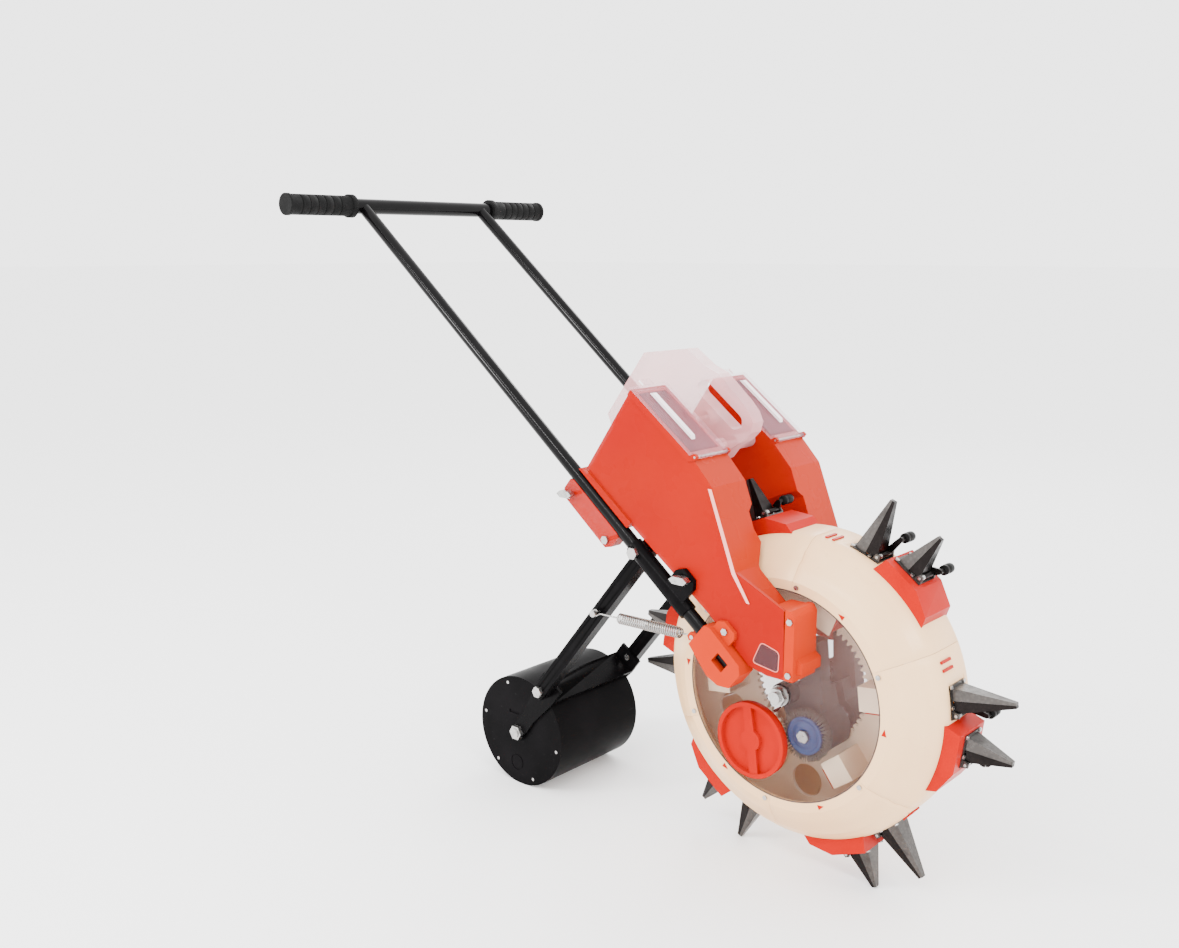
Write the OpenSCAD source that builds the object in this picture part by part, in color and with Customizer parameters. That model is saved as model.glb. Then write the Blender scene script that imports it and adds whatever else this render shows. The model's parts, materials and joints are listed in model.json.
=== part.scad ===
// Two-hopper hand-push corn planter with a rolling duckbill drum.
// Frame: origin under the middle of the overall length, on the ground.
// +X is the direction of travel, +Y the machine's left side, +Z up.

/* [Drum] */
// radius of the drum rim
rim_r = 218; // [170:1:270]
// drum width between the outer faces of its side rings
drum_w = 160; // [150:1:220]
// how far each duckbill tip stands out of the rim
bill_len = 78; // [65:1:100]
// angle between the two duckbills of one pair
pair_angle = 15.2; // [14.8:0.1:18]
// thickness of the moulded drum wall
drum_wall = 3; // [2:0.5:4]

/* [Handle] */
// height of the handlebar centre over the ground
handle_h = 941; // [800:1:1150]
// horizontal distance from the axle back to the handlebar
handle_reach = 808; // [700:1:1000]
// overall length of the handlebar
handle_w = 568; // [450:1:680]
// distance between the two pole centres
pole_pitch = 265.2; // [250:1:320]
// outer diameter of the poles
pole_d = 20; // [16:1:24]
// outer diameter of the handlebar tube
bar_d = 25; // [20:1:28]
// length of a rubber grip
grip_len = 130; // [100:1:160]
// outer diameter of a rubber grip
grip_d = 33; // [30:1:38]
// wall of the steel tubes
tube_wall = 2; // [1.5:0.5:3]

/* [Hoppers] */
// width of one hopper, inner face to outer face
hopper_w = 77; // [60:1:110]
// wall of the hoppers
hopper_wall = 3; // [2:0.5:4]
// thickness of the centre guard and its carrying strap
guard_t = 26; // [18:1:34]

/* [Press roller] */
// radius of the press roller
roller_r = 92; // [70:1:115]
// length of the press roller
roller_w = 187.4; // [150:1:189]
// side of the square press arm tube
arm_s = 22; // [16:1:26]
// diameter of the roller axle
roller_axle_d = 15; // [12:1:20]

/* [Metering] */
// diameter of the main axle
axle_d = 16; // [12:1:20]
// diameter of the metering shaft
meter_d = 10; // [8:1:12]
// teeth of the metering pinion
pinion_teeth = 16; // [14:1:16]
// radius of the metering ring
ring_out_r = 26; // [20:1:27]

/* [Clearances] */
// radial clearance of a running fit
run_gap = 0.05; // [0.02:0.01:0.1]
// gap between the side discs and the turning side rings
ring_gap = 0.3; // [0.2:0.05:0.6]
// gap left round a tube or rim that is clamped in place
seat_gap = 0.1; // [0.05:0.05:0.2]

/* [Hidden] */
$fn = 64;
eps = 0.01;
k = rim_r / 218;
tip_r = rim_r + bill_len;
tip_half = 3.6;
half_pair = pair_angle / 2;
step = 60;
// the machine stands on two duckbill tips, so these set the axle's height
ground = tip_r * cos(30 - half_pair) + tip_half * sin(30 - half_pair);
disc_y = drum_w / 2;
disc_t = 2.5;
disc_r = 150 * k;
hop_in = disc_y - 22;
hop_y = hop_in + hopper_w;
pole_y = pole_pitch / 2;
pole_r = pole_d / 2;
sleeve_r = pole_r + 3;
bar_r = bar_d / 2;
// handlebar centre and socket centre in the side view
hx = -handle_reach;
hz = handle_h - ground;
sx = -53 * k;
sz = 52 * k;
pole_len = norm([hx - sx, hz - sz]);
pole_dx = (hx - sx) / pole_len;
pole_dz = (hz - sz) / pole_len;
pole_a = atan2(pole_dz, -pole_dx);
// point at distance s up the pole and n above it, in the side view
function on_pole(s, n) = [sx + s * pole_dx + n * pole_dz,
                          sz + s * pole_dz - n * pole_dx];
function side(p) = [p[0] * k, p[1] * k];
// sideways place of the press arms
arm_y = pole_y - pole_r - 1 - arm_s / 2;
pivot_s = 197.4 * k;
pivot = on_pole(pivot_s, 0);
pivot_r = 5;
roller_x = -488 * k;
roller_z = roller_r - ground;
elbow = [roller_x + 70, roller_z + 93.5 + (roller_r - 92)];
arm_len = norm(elbow - pivot);
arm_a = atan2(elbow[1] - pivot[1], elbow[0] - pivot[0]);
yoke_t = 5;
yoke_y = arm_y - arm_s / 2;
roller_half = min(roller_w / 2, yoke_y - yoke_t - 0.6);
roller_ax_r = roller_axle_d / 2;
hook_at = 140 * k;
hook = pivot + hook_at * [cos(arm_a), sin(arm_a)];
spring_y = pole_y - 5;
// gear pair that drives the metering shaft
shaft_p = side([34, -52]);
ratio_teeth = 3.5 * pinion_teeth;
gear_m = 2 * norm(shaft_p) / (ratio_teeth - pinion_teeth);
shaft_a = atan2(shaft_p[1], shaft_p[0]);
cap_p = side([-40, -73]);
cap_r = 54 * k;
// overall box, used to put the origin under its middle
x_back = hx - grip_d / 2 - 2.5;
x_front = tip_r * cos(half_pair) + tip_half * sin(half_pair);
axle_x = -(x_back + x_front) / 2;
axle_z = ground;
// side outlines of the hopper in the wheel's own frame
t1 = side([-222, 405]);
t2 = side([-115, 322]);
t3 = side([-81, 285]);
t4 = side([-40, 176]);
f1 = side([12, 130]);
f2 = side([12, 46]);
b1 = side([-17, 53]);
b2 = on_pole(60 * k, 27 * k);
r1 = on_pole(341 * k, 14.8);
hopper_pts = [t1, t2, t3, t4, f1, f2, b1, b2, r1];
cheek_t = 6;
// outlet window, heights above the hopper's lowest corner
win_lo = 6 * k;
win_hi = 30 * k;
module outlet_2d() polygon([f2 + [3 * k, win_lo], f2 + [27 * k, win_lo],
    f2 + [27 * k, win_hi], f2 + [3 * k, win_hi]]);
lid_len = norm(t1 - t2);
lid_a = atan2(t1[1] - t2[1], t1[0] - t2[0]);
// point u along the lid from its front edge and v above it
function on_lid(u, v) = [t2[0] + u * cos(lid_a) + v * sin(lid_a),
                         t2[1] + u * sin(lid_a) - v * cos(lid_a)];
lid_hinge = on_lid(-4, 4);
lid_n = [sin(lid_a), -cos(lid_a)];
// inward offset of a clockwise outline by d
function unit(v) = v / norm(v);
function edge(p, i) = unit(p[(i + 1) % len(p)] - p[i]);
function corner(p, i, d) = let(a = edge(p, (i + len(p) - 1) % len(p)),
    b = edge(p, i), na = [a[1], -a[0]], nb = [b[1], -b[0]])
    p[i] + d * (na + nb) / (1 + na * nb);
function inset(p, d) = [for (i = [0:len(p) - 1]) corner(p, i, d)];

// ---- helpers -------------------------------------------------------------
module place() translate([axle_x, 0, axle_z]) children();

// side-view shape made solid between two Y values
module slab(y0, y1)
    translate([0, y1, 0]) rotate([90, 0, 0])
        linear_extrude(height = y1 - y0) children();

module ycyl(p, r, y0, y1)
    translate([p[0], y1, p[1]]) rotate([90, 0, 0])
        cylinder(r = r, h = y1 - y0);

module ytube(p, r, ri, y0, y1)
    difference() {
        ycyl(p, r, y0, y1);
        ycyl(p, ri, y0 - 1, y1 + 1);
    }

module yhex(p, r, y0, y1)
    translate([p[0], y1, p[1]]) rotate([90, 0, 0])
        cylinder(r = r, h = y1 - y0, $fn = 6);

// both sides of the machine
module pair() {
    children();
    mirror([0, 1, 0]) children();
}

// local z points out of the drum at angle a, local x towards travel
module at_angle(a) rotate([0, 90 - a, 0]) children();

// along the pole: local x up the pole, local z above it
module along_pole() translate([sx, 0, sz]) rotate([0, 180 + pole_a, 0])
    mirror([0, 0, 1]) children();

// four-sided taper from z0 to z1, given as [x0, x1, y] at each end
module taper(a, z0, b, z1)
    polyhedron(points = [
        [a[0], -a[2], z0], [a[1], -a[2], z0], [a[1], a[2], z0], [a[0], a[2], z0],
        [b[0], -b[2], z1], [b[1], -b[2], z1], [b[1], b[2], z1], [b[0], b[2], z1]],
        faces = [[0, 1, 2, 3], [4, 7, 6, 5], [0, 4, 5, 1], [1, 5, 6, 2],
            [2, 6, 7, 3], [3, 7, 4, 0]]);

// ---- handle --------------------------------------------------------------
module handlebar() color([0.03, 0.03, 0.03]) place()
    ytube([hx, hz], bar_r, bar_r - tube_wall, -handle_w / 2 + 4, handle_w / 2 - 4);

module pole() difference() {
    translate([0, -pole_y, 0]) along_pole() rotate([0, 90, 0])
        translate([0, 0, -14 * k]) difference() {
            cylinder(r = pole_r, h = pole_len + 14 * k);
            translate([0, 0, -1]) cylinder(r = pole_r - tube_wall, h = pole_len + 20 * k);
        }
    ycyl([hx, hz], bar_r, -pole_y - 30, -pole_y + 30);
    ycyl(pivot, pivot_r + run_gap, -pole_y - 30, -pole_y + 30);
}
module right_pole() color([0.03, 0.03, 0.03]) place() pole();
module left_pole() color([0.03, 0.03, 0.03]) place() mirror([0, 1, 0]) pole();

module grip() difference() {
    union() {
        ycyl([hx, hz], grip_d / 2, -handle_w / 2, -handle_w / 2 + grip_len);
        ycyl([hx, hz], grip_d / 2 + 2.5, -handle_w / 2 + grip_len - 9,
            -handle_w / 2 + grip_len);
        ycyl([hx, hz], grip_d / 2 + 1, -handle_w / 2, -handle_w / 2 + 6);
    }
    ycyl([hx, hz], bar_r, -handle_w / 2 + 4, -handle_w / 2 + grip_len + 1);
    for (i = [0:5])
        ytube([hx, hz], grip_d / 2 + 2, grip_d / 2 - 0.8,
            -handle_w / 2 + 22 + i * 15, -handle_w / 2 + 24 + i * 15);
}
module right_grip() color([0.02, 0.02, 0.02]) place() grip();
module left_grip() color([0.02, 0.02, 0.02]) place() mirror([0, 1, 0]) grip();

// ---- pole sockets, sleeves, clamps ----------------------------------------
sock_in = pole_y - pole_r - 4.6;
sock_out = pole_y + pole_r + 7;
ear_y0 = hop_y;
ear_y1 = max(hop_y + 5, sock_out - 8);
module socket() difference() {
    union() {
        slab(-sock_out, -sock_in) polygon([on_pole(50 * k, -21 * k), on_pole(50 * k, 19 * k),
            on_pole(42 * k, 24 * k), on_pole(-22 * k, 22 * k), on_pole(-32 * k, 12 * k),
            on_pole(-32 * k, -15 * k), on_pole(-18 * k, -27 * k), on_pole(2 * k, -31 * k)]);
        // ear that laps over the outer face of the hopper
        slab(-ear_y1, -ear_y0) polygon([on_pole(42 * k, 20 * k), on_pole(8 * k, 20 * k),
            on_pole(8 * k, 36 * k), on_pole(14 * k, 44 * k), on_pole(34 * k, 44 * k),
            on_pole(42 * k, 36 * k)]);
        // two ears that hold the spring's eye pin
        for (y = [-spring_y - 6.5, -spring_y + 2.5]) slab(y, y + 4) polygon([
            on_pole(49 * k, -4 * k), on_pole(56 * k, -12 * k), on_pole(64 * k, -18 * k),
            on_pole(64 * k, -26 * k), on_pole(58 * k, -29 * k), on_pole(49 * k, -20.5 * k),
            on_pole(44 * k, -20 * k), on_pole(44 * k, -12 * k)]);
    }
    translate([0, -pole_y, 0]) along_pole() rotate([0, 90, 0])
        translate([0, 0, -14.5 * k]) cylinder(r = pole_r + seat_gap, h = 90 * k);
    // square window in the outer wall and pin hole
    slab(-sock_out - 1, -pole_y) polygon([on_pole(11 * k, -8.5 * k), on_pole(11 * k, 8.5 * k),
        on_pole(-10 * k, 8.5 * k), on_pole(-10 * k, -8.5 * k)]);
    ycyl(on_pole(25 * k, 34 * k), 2.6, -ear_y1 - 1, -ear_y0 + 1);
    ycyl(eye_pin, 2.9, -spring_y - 20, -sock_in + 1);
}
eye_pin = on_pole(57.5 * k, -22 * k);
module right_socket() color([0.88, 0.36, 0.16]) place() socket();
module left_socket() color([0.88, 0.36, 0.16]) place() mirror([0, 1, 0]) socket();

module sleeve() difference() {
    union() {
        translate([0, -pole_y, 0]) along_pole() rotate([0, 90, 0])
            translate([0, 0, 84 * k]) cylinder(r = sleeve_r, h = 126 * k);
        // lug that lies flat on the hopper's outer face
        slab(-lug_y1, -hop_y) polygon([on_pole(96 * k, 0), on_pole(96 * k, 36 * k),
            on_pole(104 * k, 47 * k), on_pole(126 * k, 47 * k), on_pole(134 * k, 36 * k),
            on_pole(134 * k, 0)]);
    }
    translate([0, -pole_y, 0]) along_pole() rotate([0, 90, 0])
        translate([0, 0, 80 * k]) cylinder(r = pole_r + seat_gap, h = 134 * k);
    // flat on the inner side, where the press arm swings
    slab(-pole_y + pole_r + 0.2, -pole_y + 40) polygon([on_pole(70 * k, -20),
        on_pole(225 * k, -20), on_pole(225 * k, 20), on_pole(70 * k, 20)]);
    ycyl(pivot, pivot_r + run_gap, -pole_y - 30, -pole_y + 30);
    ycyl(wing_p, 3.1, -lug_y1 - 1, -hop_y + 1);
}
lug_y1 = max(hop_y, pole_y) + 7;
wing_p = on_pole(115 * k, 36 * k);
module clamp_sleeves() color([0.03, 0.03, 0.03]) place() pair() sleeve();

// cradle below each pole, hung from the foot flange of the hopper
cl_s0 = 232 * k;
cl_s1 = 350 * k;
cl_n = -37 * k;
foot_n = pole_r + 2.6;
cl_out = pole_y + pole_r;
module clamp() difference() {
    union() {
        slab(-pole_y - pole_r, -pole_y + pole_r) polygon([
            on_pole(cl_s0, cl_n + 10), on_pole(cl_s0 + 8, cl_n), on_pole(cl_s1 - 8, cl_n),
            on_pole(cl_s1, cl_n + 10), on_pole(cl_s1, -8), on_pole(cl_s1 - 6, -4),
            on_pole(cl_s0 + 6, -4), on_pole(cl_s0, -8)]);
        // inner wall that reaches up to the hopper's foot flange
        slab(-pole_y + pole_r - eps, -pole_y + pole_r + 4) polygon([
            on_pole(cl_s0 + 8, cl_n + 4), on_pole(cl_s1 - 8, cl_n + 4),
            on_pole(cl_s1 - 8, foot_n), on_pole(cl_s0 + 8, foot_n)]);
    }
    translate([0, -pole_y, 0]) along_pole() rotate([0, 90, 0])
        translate([0, 0, cl_s0 - 20]) cylinder(r = pole_r + seat_gap, h = 200 * k);
    for (s = [cl_s0 + 14, cl_s1 - 14])
        ycyl(on_pole(s, cl_n + 10), 3.1, -cl_out - 1, -pole_y + pole_r + 5);
}
module pole_clamps() color([0.9, 0.38, 0.2, 0.8]) place() pair() clamp();

// ---- hoppers --------------------------------------------------------------
// room swept by the drum and its duckbills, as a turned solid
module sweep(c) rotate([90, 0, 0]) rotate_extrude($fn = 128)
    polygon([[0, -disc_y - c - 1], [172 * k + c, -disc_y - c - 1],
        [206 * k + c, -hop_in - c], [226 * k + c, -hop_in - 8 * k - c],
        [250 * k + c, -hop_in - 8 * k - c], [262 * k + c, -hop_in + 6 - c],
        [262 * k + c, hop_in - 6 + c], [250 * k + c, hop_in + 8 * k + c],
        [226 * k + c, hop_in + 8 * k + c], [206 * k + c, hop_in + c],
        [172 * k + c, disc_y + c + 1], [0, disc_y + c + 1]]);

module hopper() difference() {
    union() {
        difference() {
            slab(-hop_y, -hop_in) polygon(hopper_pts);
            sweep(3);
        }
        // lip round the filling mouth
        slab(-hop_y - 2, -hop_in) polygon([on_lid(0, -9), on_lid(0, 0), on_lid(lid_len, 0),
            on_lid(lid_len, -9)]);
        // ears that hold the lid's hinge pin
        for (y = [-hop_y - 2, -hop_in - 5]) slab(y, y + 5) polygon([on_lid(1.5, -9),
            on_lid(2.2, 2), on_lid(-1, 7.4), on_lid(-7, 7.4), on_lid(-7.4, 1),
            on_lid(-2, -6)]);
        // foot flange over the pole
        slab(-max(hop_y, pole_y) - 4, -pole_y + pole_r + 5) polygon([on_pole(cl_s0, foot_n),
            on_pole(cl_s1, foot_n), on_pole(cl_s1 - 6, 22), on_pole(cl_s0, 24)]);
        // outer cheek that reaches past the spout block
        slab(-hop_y, -hop_y + cheek_t) polygon([t4 + [0, -12], t4, f1 + [24, 9] * k,
            f2 + [26, 0] * k, f2, f2 + [-10, 20], f1 + [-14, 0]]);
        // stiffening bead along the front corner
        slab(-hop_y - 1.5, -hop_y + 1) polygon([t3 + [-6, -2], t3 + [0, -2], t4 + [0, 0],
            f1 + [-28, 8], f1 + [-33, 8], t4 + [-6, -2]]);
    }
    // hollow
    difference() {
        slab(-hop_y + hopper_wall, -hop_in - hopper_wall)
            polygon(inset(hopper_pts, hopper_wall));
        sweep(3 + hopper_wall);
    }
    // filling mouth
    slab(-hop_y + 7, -hop_in - 7) polygon([on_lid(9, -20), on_lid(9, 5),
        on_lid(lid_len - 9, 5), on_lid(lid_len - 9, -20)]);
    // outlet to the spout block
    slab(-hop_y + 8, -disc_y - 8) polygon([f2 + [-hopper_wall - 2, win_lo], f2 + [3, win_lo],
        f2 + [3, win_hi], f2 + [-hopper_wall - 2, win_hi]]);
    ycyl(on_pole(25 * k, 34 * k), 2.6, -hop_y - 5, -hop_y + hopper_wall + 1);
    ycyl(wing_p, 3.1, -hop_y - 5, -hop_y + hopper_wall + 1);
    ycyl(lid_hinge, 1.6, -hop_y - 5, -hop_in + 5);
}
module seed_hopper() color([0.88, 0.31, 0.16, 0.85]) place() hopper();
module fertilizer_hopper() color([0.88, 0.31, 0.16, 0.85]) place()
    mirror([0, 1, 0]) hopper();

module spout_block() difference() {
    union() {
        slab(-hop_y + cheek_t + 0.1, -disc_y) polygon([f2, f2 + [30, 0] * k,
            f2 + [30, 92] * k, f2 + [0, 92] * k]);
        slab(-hop_y, -disc_y) polygon([f2 + [26.2, 0] * k, f2 + [40, 0] * k,
            f2 + [40, 86] * k, f2 + [34, 94] * k, f2 + [26.2, 94] * k]);
        slab(-hop_y + 8, -disc_y) polygon([f2 + [39, 8] * k, f2 + [48, 10] * k,
            f2 + [48, 24] * k, f2 + [39, 30] * k]);
    }
    sweep_ring();
    slab(-hop_y + 8, -disc_y - 8) polygon([f2 + [-1, win_lo], f2 + [27 * k, win_lo],
        f2 + [27 * k, win_hi], f2 + [-1, win_hi]]);
    slab(-disc_y - 9, -disc_y + 1) outlet_2d();
    for (z = [8, 80])
        ycyl(f2 + [33.5, z] * k, 2.6, -hop_y - 1, -hop_y + 14);
}
// keeps the spout block off the turning side ring
module sweep_ring() rotate([90, 0, 0]) rotate_extrude($fn = 128)
    polygon([[disc_r - 3, -disc_y - 4], [disc_r + 40, -disc_y - 4],
        [disc_r + 40, disc_y + 4], [disc_r - 3, disc_y + 4]]);
module spout_blocks() color([0.9, 0.38, 0.17]) place() pair() spout_block();

// ---- lids and guard -------------------------------------------------------
knuckle_r = 3.4;
module lid() {
    difference() {
        slab(-hop_y - 2, -hop_in) polygon([on_lid(3, 0.3), on_lid(3, 5), on_lid(lid_len, 5),
            on_lid(lid_len + 4, 0.3)]);
        slab(-hop_y + 4, -hop_in - 6) polygon([on_lid(9, -1), on_lid(9, 3.2),
            on_lid(lid_len - 6, 3.2), on_lid(lid_len - 6, -1)]);
    }
    // raised grip rib and latch tab
    slab(-hop_y + 22 * hopper_w / 77, -hop_y + 30 * hopper_w / 77)
        polygon([on_lid(26, 5), on_lid(30, 9), on_lid(lid_len - 20, 9),
            on_lid(lid_len - 16, 5)]);
    slab(-(hop_y + hop_in) / 2 - 12, -(hop_y + hop_in) / 2 + 12)
        polygon([on_lid(lid_len + 2, 4.5), on_lid(lid_len + 12, 4.5),
            on_lid(lid_len + 12, 2), on_lid(lid_len + 2, 2)]);
    // hinge barrel
    difference() {
        union() {
            slab(-hop_y + 3.4, -hop_in - 5.4) polygon([on_lid(5, 0.3), on_lid(5, 5),
                lid_hinge + 3.2 * lid_n, lid_hinge - 2.4 * lid_n]);
            ycyl(lid_hinge, knuckle_r, -hop_y + 3.4, -hop_in - 5.4);
        }
        ycyl(lid_hinge, 1.6 + run_gap, -hop_y - 5, -hop_in + 5);
    }
}
module right_lid() color([0.85, 0.83, 0.86, 0.45]) place() lid();
module left_lid() color([0.85, 0.83, 0.86, 0.45]) place() mirror([0, 1, 0]) lid();

boss_a = on_lid(30 * k, -26 * k);
boss_b = side([-285, 300]);
boss_c = side([-205, 352]);
slot_r = 12 * k;
module centre_guard() color([0.93, 0.84, 0.84, 0.7]) place() difference() {
    union() {
        slab(-guard_t / 2, guard_t / 2) polygon([on_lid(216 * k, -138 * k),
            on_lid(220 * k, -16 * k), on_lid(163 * k, 41 * k), on_lid(123 * k, 43 * k),
            on_lid(98 * k, 50 * k), on_lid(40 * k, 46 * k), on_lid(24 * k, 43 * k),
            on_lid(10 * k, 36 * k), on_lid(4 * k, 22 * k), on_lid(6 * k, 4 * k),
            on_lid(14 * k, -17 * k), side([-150, 300]), side([-215, 262]),
            side([-275, 225]), side([-330, 262])]);
        for (b = [boss_a, boss_b, boss_c]) ycyl(b, 11 * k, -hop_in, hop_in);
    }
    // finger slot
    ycyl(on_lid(34 * k, 17 * k), slot_r, -40, 40);
    ycyl(on_lid(104 * k, 17 * k), slot_r, -40, 40);
    slab(-40, 40) polygon([on_lid(34 * k, 17 * k - slot_r), on_lid(104 * k, 17 * k - slot_r),
        on_lid(104 * k, 17 * k + slot_r), on_lid(34 * k, 17 * k + slot_r)]);
    for (b = [boss_a, boss_b, boss_c]) ycyl(b, 3.1, -hop_in - 1, hop_in + 1);
}

// ---- side discs, axle, fasteners of the frame -----------------------------
module side_disc() difference() {
    ycyl([0, 0], disc_r - ring_gap, -disc_y, -disc_y + disc_t);
    ycyl([0, 0], axle_d / 2, -disc_y - 1, -disc_y + 5);
    ycyl(cap_p, cap_r - 5 + run_gap, -disc_y - 1, -disc_y + 5);
    slab(-disc_y - 1, -disc_y + 5) outlet_2d();
}
module side_discs() color([0.8, 0.7, 0.67, 0.5]) place() pair() side_disc();

module axle() color([0.62, 0.62, 0.62]) place()
    ycyl([0, 0], axle_d / 2, -disc_y - 16, disc_y + 16);

module head(p, y, r, h) {
    yhex(p, r, -y - h, -y);
}
module frame_bolts() color([0.66, 0.66, 0.66]) place() pair() {
    // axle nut and washer
    ytube([0, 0], axle_d / 2 + 6, axle_d / 2, -disc_y - 2, -disc_y);
    difference() {
        yhex([0, 0], axle_d / 2 + 5, -disc_y - 11, -disc_y - 2);
        ycyl([0, 0], axle_d / 2, -disc_y - 30, -disc_y + 5);
    }
    // press arm pivot bolt
    ycyl(pivot, pivot_r, -pole_y - sleeve_r - 3, -arm_y + arm_s / 2 + 4);
    head(pivot, pole_y + sleeve_r, 9, 6);
    // socket screw
    ycyl(on_pole(25 * k, 34 * k), 2.5, -ear_y1, -ear_y0 + hopper_wall + 3);
    head(on_pole(25 * k, 34 * k), ear_y1, 5, 3);
    // wing bolt through the sleeve lug
    ycyl(wing_p, 3, -lug_y1, -hop_y + hopper_wall + 3);
    head(wing_p, lug_y1, 7, 5);
    slab(-lug_y1 - 16, -lug_y1 - 5 + eps) polygon([wing_p + [-15, 2], wing_p + [-9, 7],
        wing_p + [9, 7], wing_p + [15, 2], wing_p + [9, -3], wing_p + [-9, -3]]);
    // clamp bolts, the upper one with wings
    for (s = [cl_s0 + 14, cl_s1 - 14]) {
        ycyl(on_pole(s, cl_n + 10), 3, -cl_out, -pole_y + pole_r + 4);
        head(on_pole(s, cl_n + 10), cl_out, 6.5, 4);
    }
    slab(-cl_out - 14, -cl_out - 4 + eps) polygon([for (q = [[-14, 2], [-8, 7], [8, 7],
        [14, 2], [8, -3], [-8, -3]]) on_pole(cl_s1 - 14, cl_n + 10) + q]);
    // spout block screws
    for (z = [8, 80]) {
        ycyl(f2 + [33.5, z] * k, 2.5, -hop_y, -hop_y + 13.5);
        head(f2 + [33.5, z] * k, hop_y, 4.5, 2.5);
    }
    // lid hinge pin
    ycyl(lid_hinge, 1.6, -hop_y - 2, -hop_in);
    // spring eye pin
    ycyl(eye_pin, 2.9, -spring_y - 7.5, -spring_y + 7.5);
}

// ---- metering -------------------------------------------------------------
case_y0 = 8;
case_y1 = 56;
brush_y0 = 58;
brush_y1 = disc_y - disc_t - 5;
sweep_in = 94 * k;
module metering_case() difference() {
    union() {
        intersection() {
            union() {
                ycyl(shaft_p, 35 * k, -case_y1, -case_y0);
                slab(-case_y1, -case_y0) polygon([shaft_p + [-30, 10] * k,
                    shaft_p + [-18, 46] * k, shaft_p + [8, 60] * k,
                    shaft_p + [16, 30] * k]);
            }
            ycyl([0, 0], sweep_in, -disc_y, disc_y);
        }
        // arm that clamps on the axle
        slab(-case_y1, -case_y1 + 8) polygon([[-16, 8] * k, [16, 12] * k,
            shaft_p + [20, 10] * k, shaft_p + [-26, -12] * k, [-18, -8] * k]);
        ycyl([0, 0], axle_d / 2 + 8, -disc_y + disc_t, -case_y1 + 8);
        // chute from the disc window down to the ring
        slab(-disc_y + disc_t, -case_y1 + eps) polygon([f2 + [0, 2 * k], f2 + [30 * k, 2 * k],
            f2 + [30 * k, 33 * k], f2 + [0, 33 * k]]);
        slab(-case_y1, -case_y1 + 24) polygon([f2 + [0, 33 * k], f2 + [30 * k, 33 * k],
            shaft_p + [18, 44] * k, shaft_p + [-18, 40] * k]);
    }
    ycyl([0, 0], axle_d / 2, -disc_y - 1, 0);
    // ring chamber and shaft bore
    ycyl(shaft_p, ring_out_r * k + 0.5, -case_y1 + 5, -case_y0 - 3);
    ycyl(shaft_p, meter_d / 2 + run_gap, -disc_y, 1);
    // seed way
    slab(-disc_y, -case_y1 + 20) outlet_2d();
    slab(-case_y1 + 9, -case_y1 + 20) polygon([f2 + [5 * k, 12 * k], f2 + [18 * k, 12 * k],
        shaft_p + [8, 20] * k, shaft_p + [-10, 20] * k]);
}
module right_metering_case() color([0.25, 0.24, 0.25]) place() metering_case();
module left_metering_case() color([0.25, 0.24, 0.25]) place()
    mirror([0, 1, 0]) metering_case();

// spur gear outline with straight flanks, a tooth on the x axis
function gear_pts(n, m, add, ded, t) = [for (i = [0:n - 1], j = [0:3])
    let(a = 360 / n * i, w = 360 / n,
        r = (j == 0 || j == 3) ? m * n / 2 - ded : m * n / 2 + add,
        b = (j == 0) ? -w * (t + 0.11) : (j == 1) ? -w * (t - 0.11)
            : (j == 2) ? w * (t - 0.11) : w * (t + 0.11))
    [r * cos(a + b), r * sin(a + b)]];
module pinion_2d() rotate(shaft_a)
    polygon(gear_pts(pinion_teeth, gear_m, 0.85 * gear_m, 1.1 * gear_m, 0.235));
module ring_2d() rotate(shaft_a)
    polygon(gear_pts(ratio_teeth, gear_m, 1.1 * gear_m, 0.85 * gear_m, 0.265));

module metering_shaft() color([0.6, 0.6, 0.62]) place() {
    ycyl(shaft_p, meter_d / 2, -disc_y + disc_t + 0.6, disc_y - disc_t - 0.6);
    difference() {
        translate([shaft_p[0], 4.5, shaft_p[1]]) rotate([90, 0, 0])
            linear_extrude(height = 9) pinion_2d();
        ycyl(shaft_p, meter_d / 2 - eps, -6, 6);
    }
    pair() difference() {
        yhex(shaft_p, meter_d / 2 + 4, -brush_y1 - 4.4, -brush_y1);
        ycyl(shaft_p, meter_d / 2 - eps, -disc_y, 0);
    }
}
module metering_rings() color([0.03, 0.03, 0.03]) place() pair() difference() {
    ycyl(shaft_p, ring_out_r * k, -case_y1 + 5.4, -case_y0 - 3.4);
    ycyl(shaft_p, meter_d / 2, -disc_y, 0);
    for (i = [0:7])
        translate([shaft_p[0], -(case_y0 + case_y1) / 2, shaft_p[1]])
            rotate([0, 45 * i, 0]) translate([0, 0, ring_out_r * k - 5])
                cylinder(r = 5 * k, h = 8, $fn = 32);
}
bristle_r = 38.5 * k;
module brush_wheels() color([0.12, 0.3, 0.55]) place() pair() {
    difference() {
        union() {
            ycyl(shaft_p, 27 * k, -brush_y1, -brush_y0);
            translate([shaft_p[0], -brush_y0 - 1.5, shaft_p[1]]) rotate([90, 0, 0])
                linear_extrude(height = brush_y1 - brush_y0 - 3)
                    polygon([for (i = [0:95]) let(q = i % 4)
                        ((q < 2) ? bristle_r : 27.5 * k)
                            * [cos(i * 3.75), sin(i * 3.75)]]);
        }
        ycyl(shaft_p, meter_d / 2, -disc_y, 0);
        ytube(shaft_p, 23 * k, 18 * k, -brush_y1 - 1, -brush_y1 + 2);
    }
}
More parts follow.
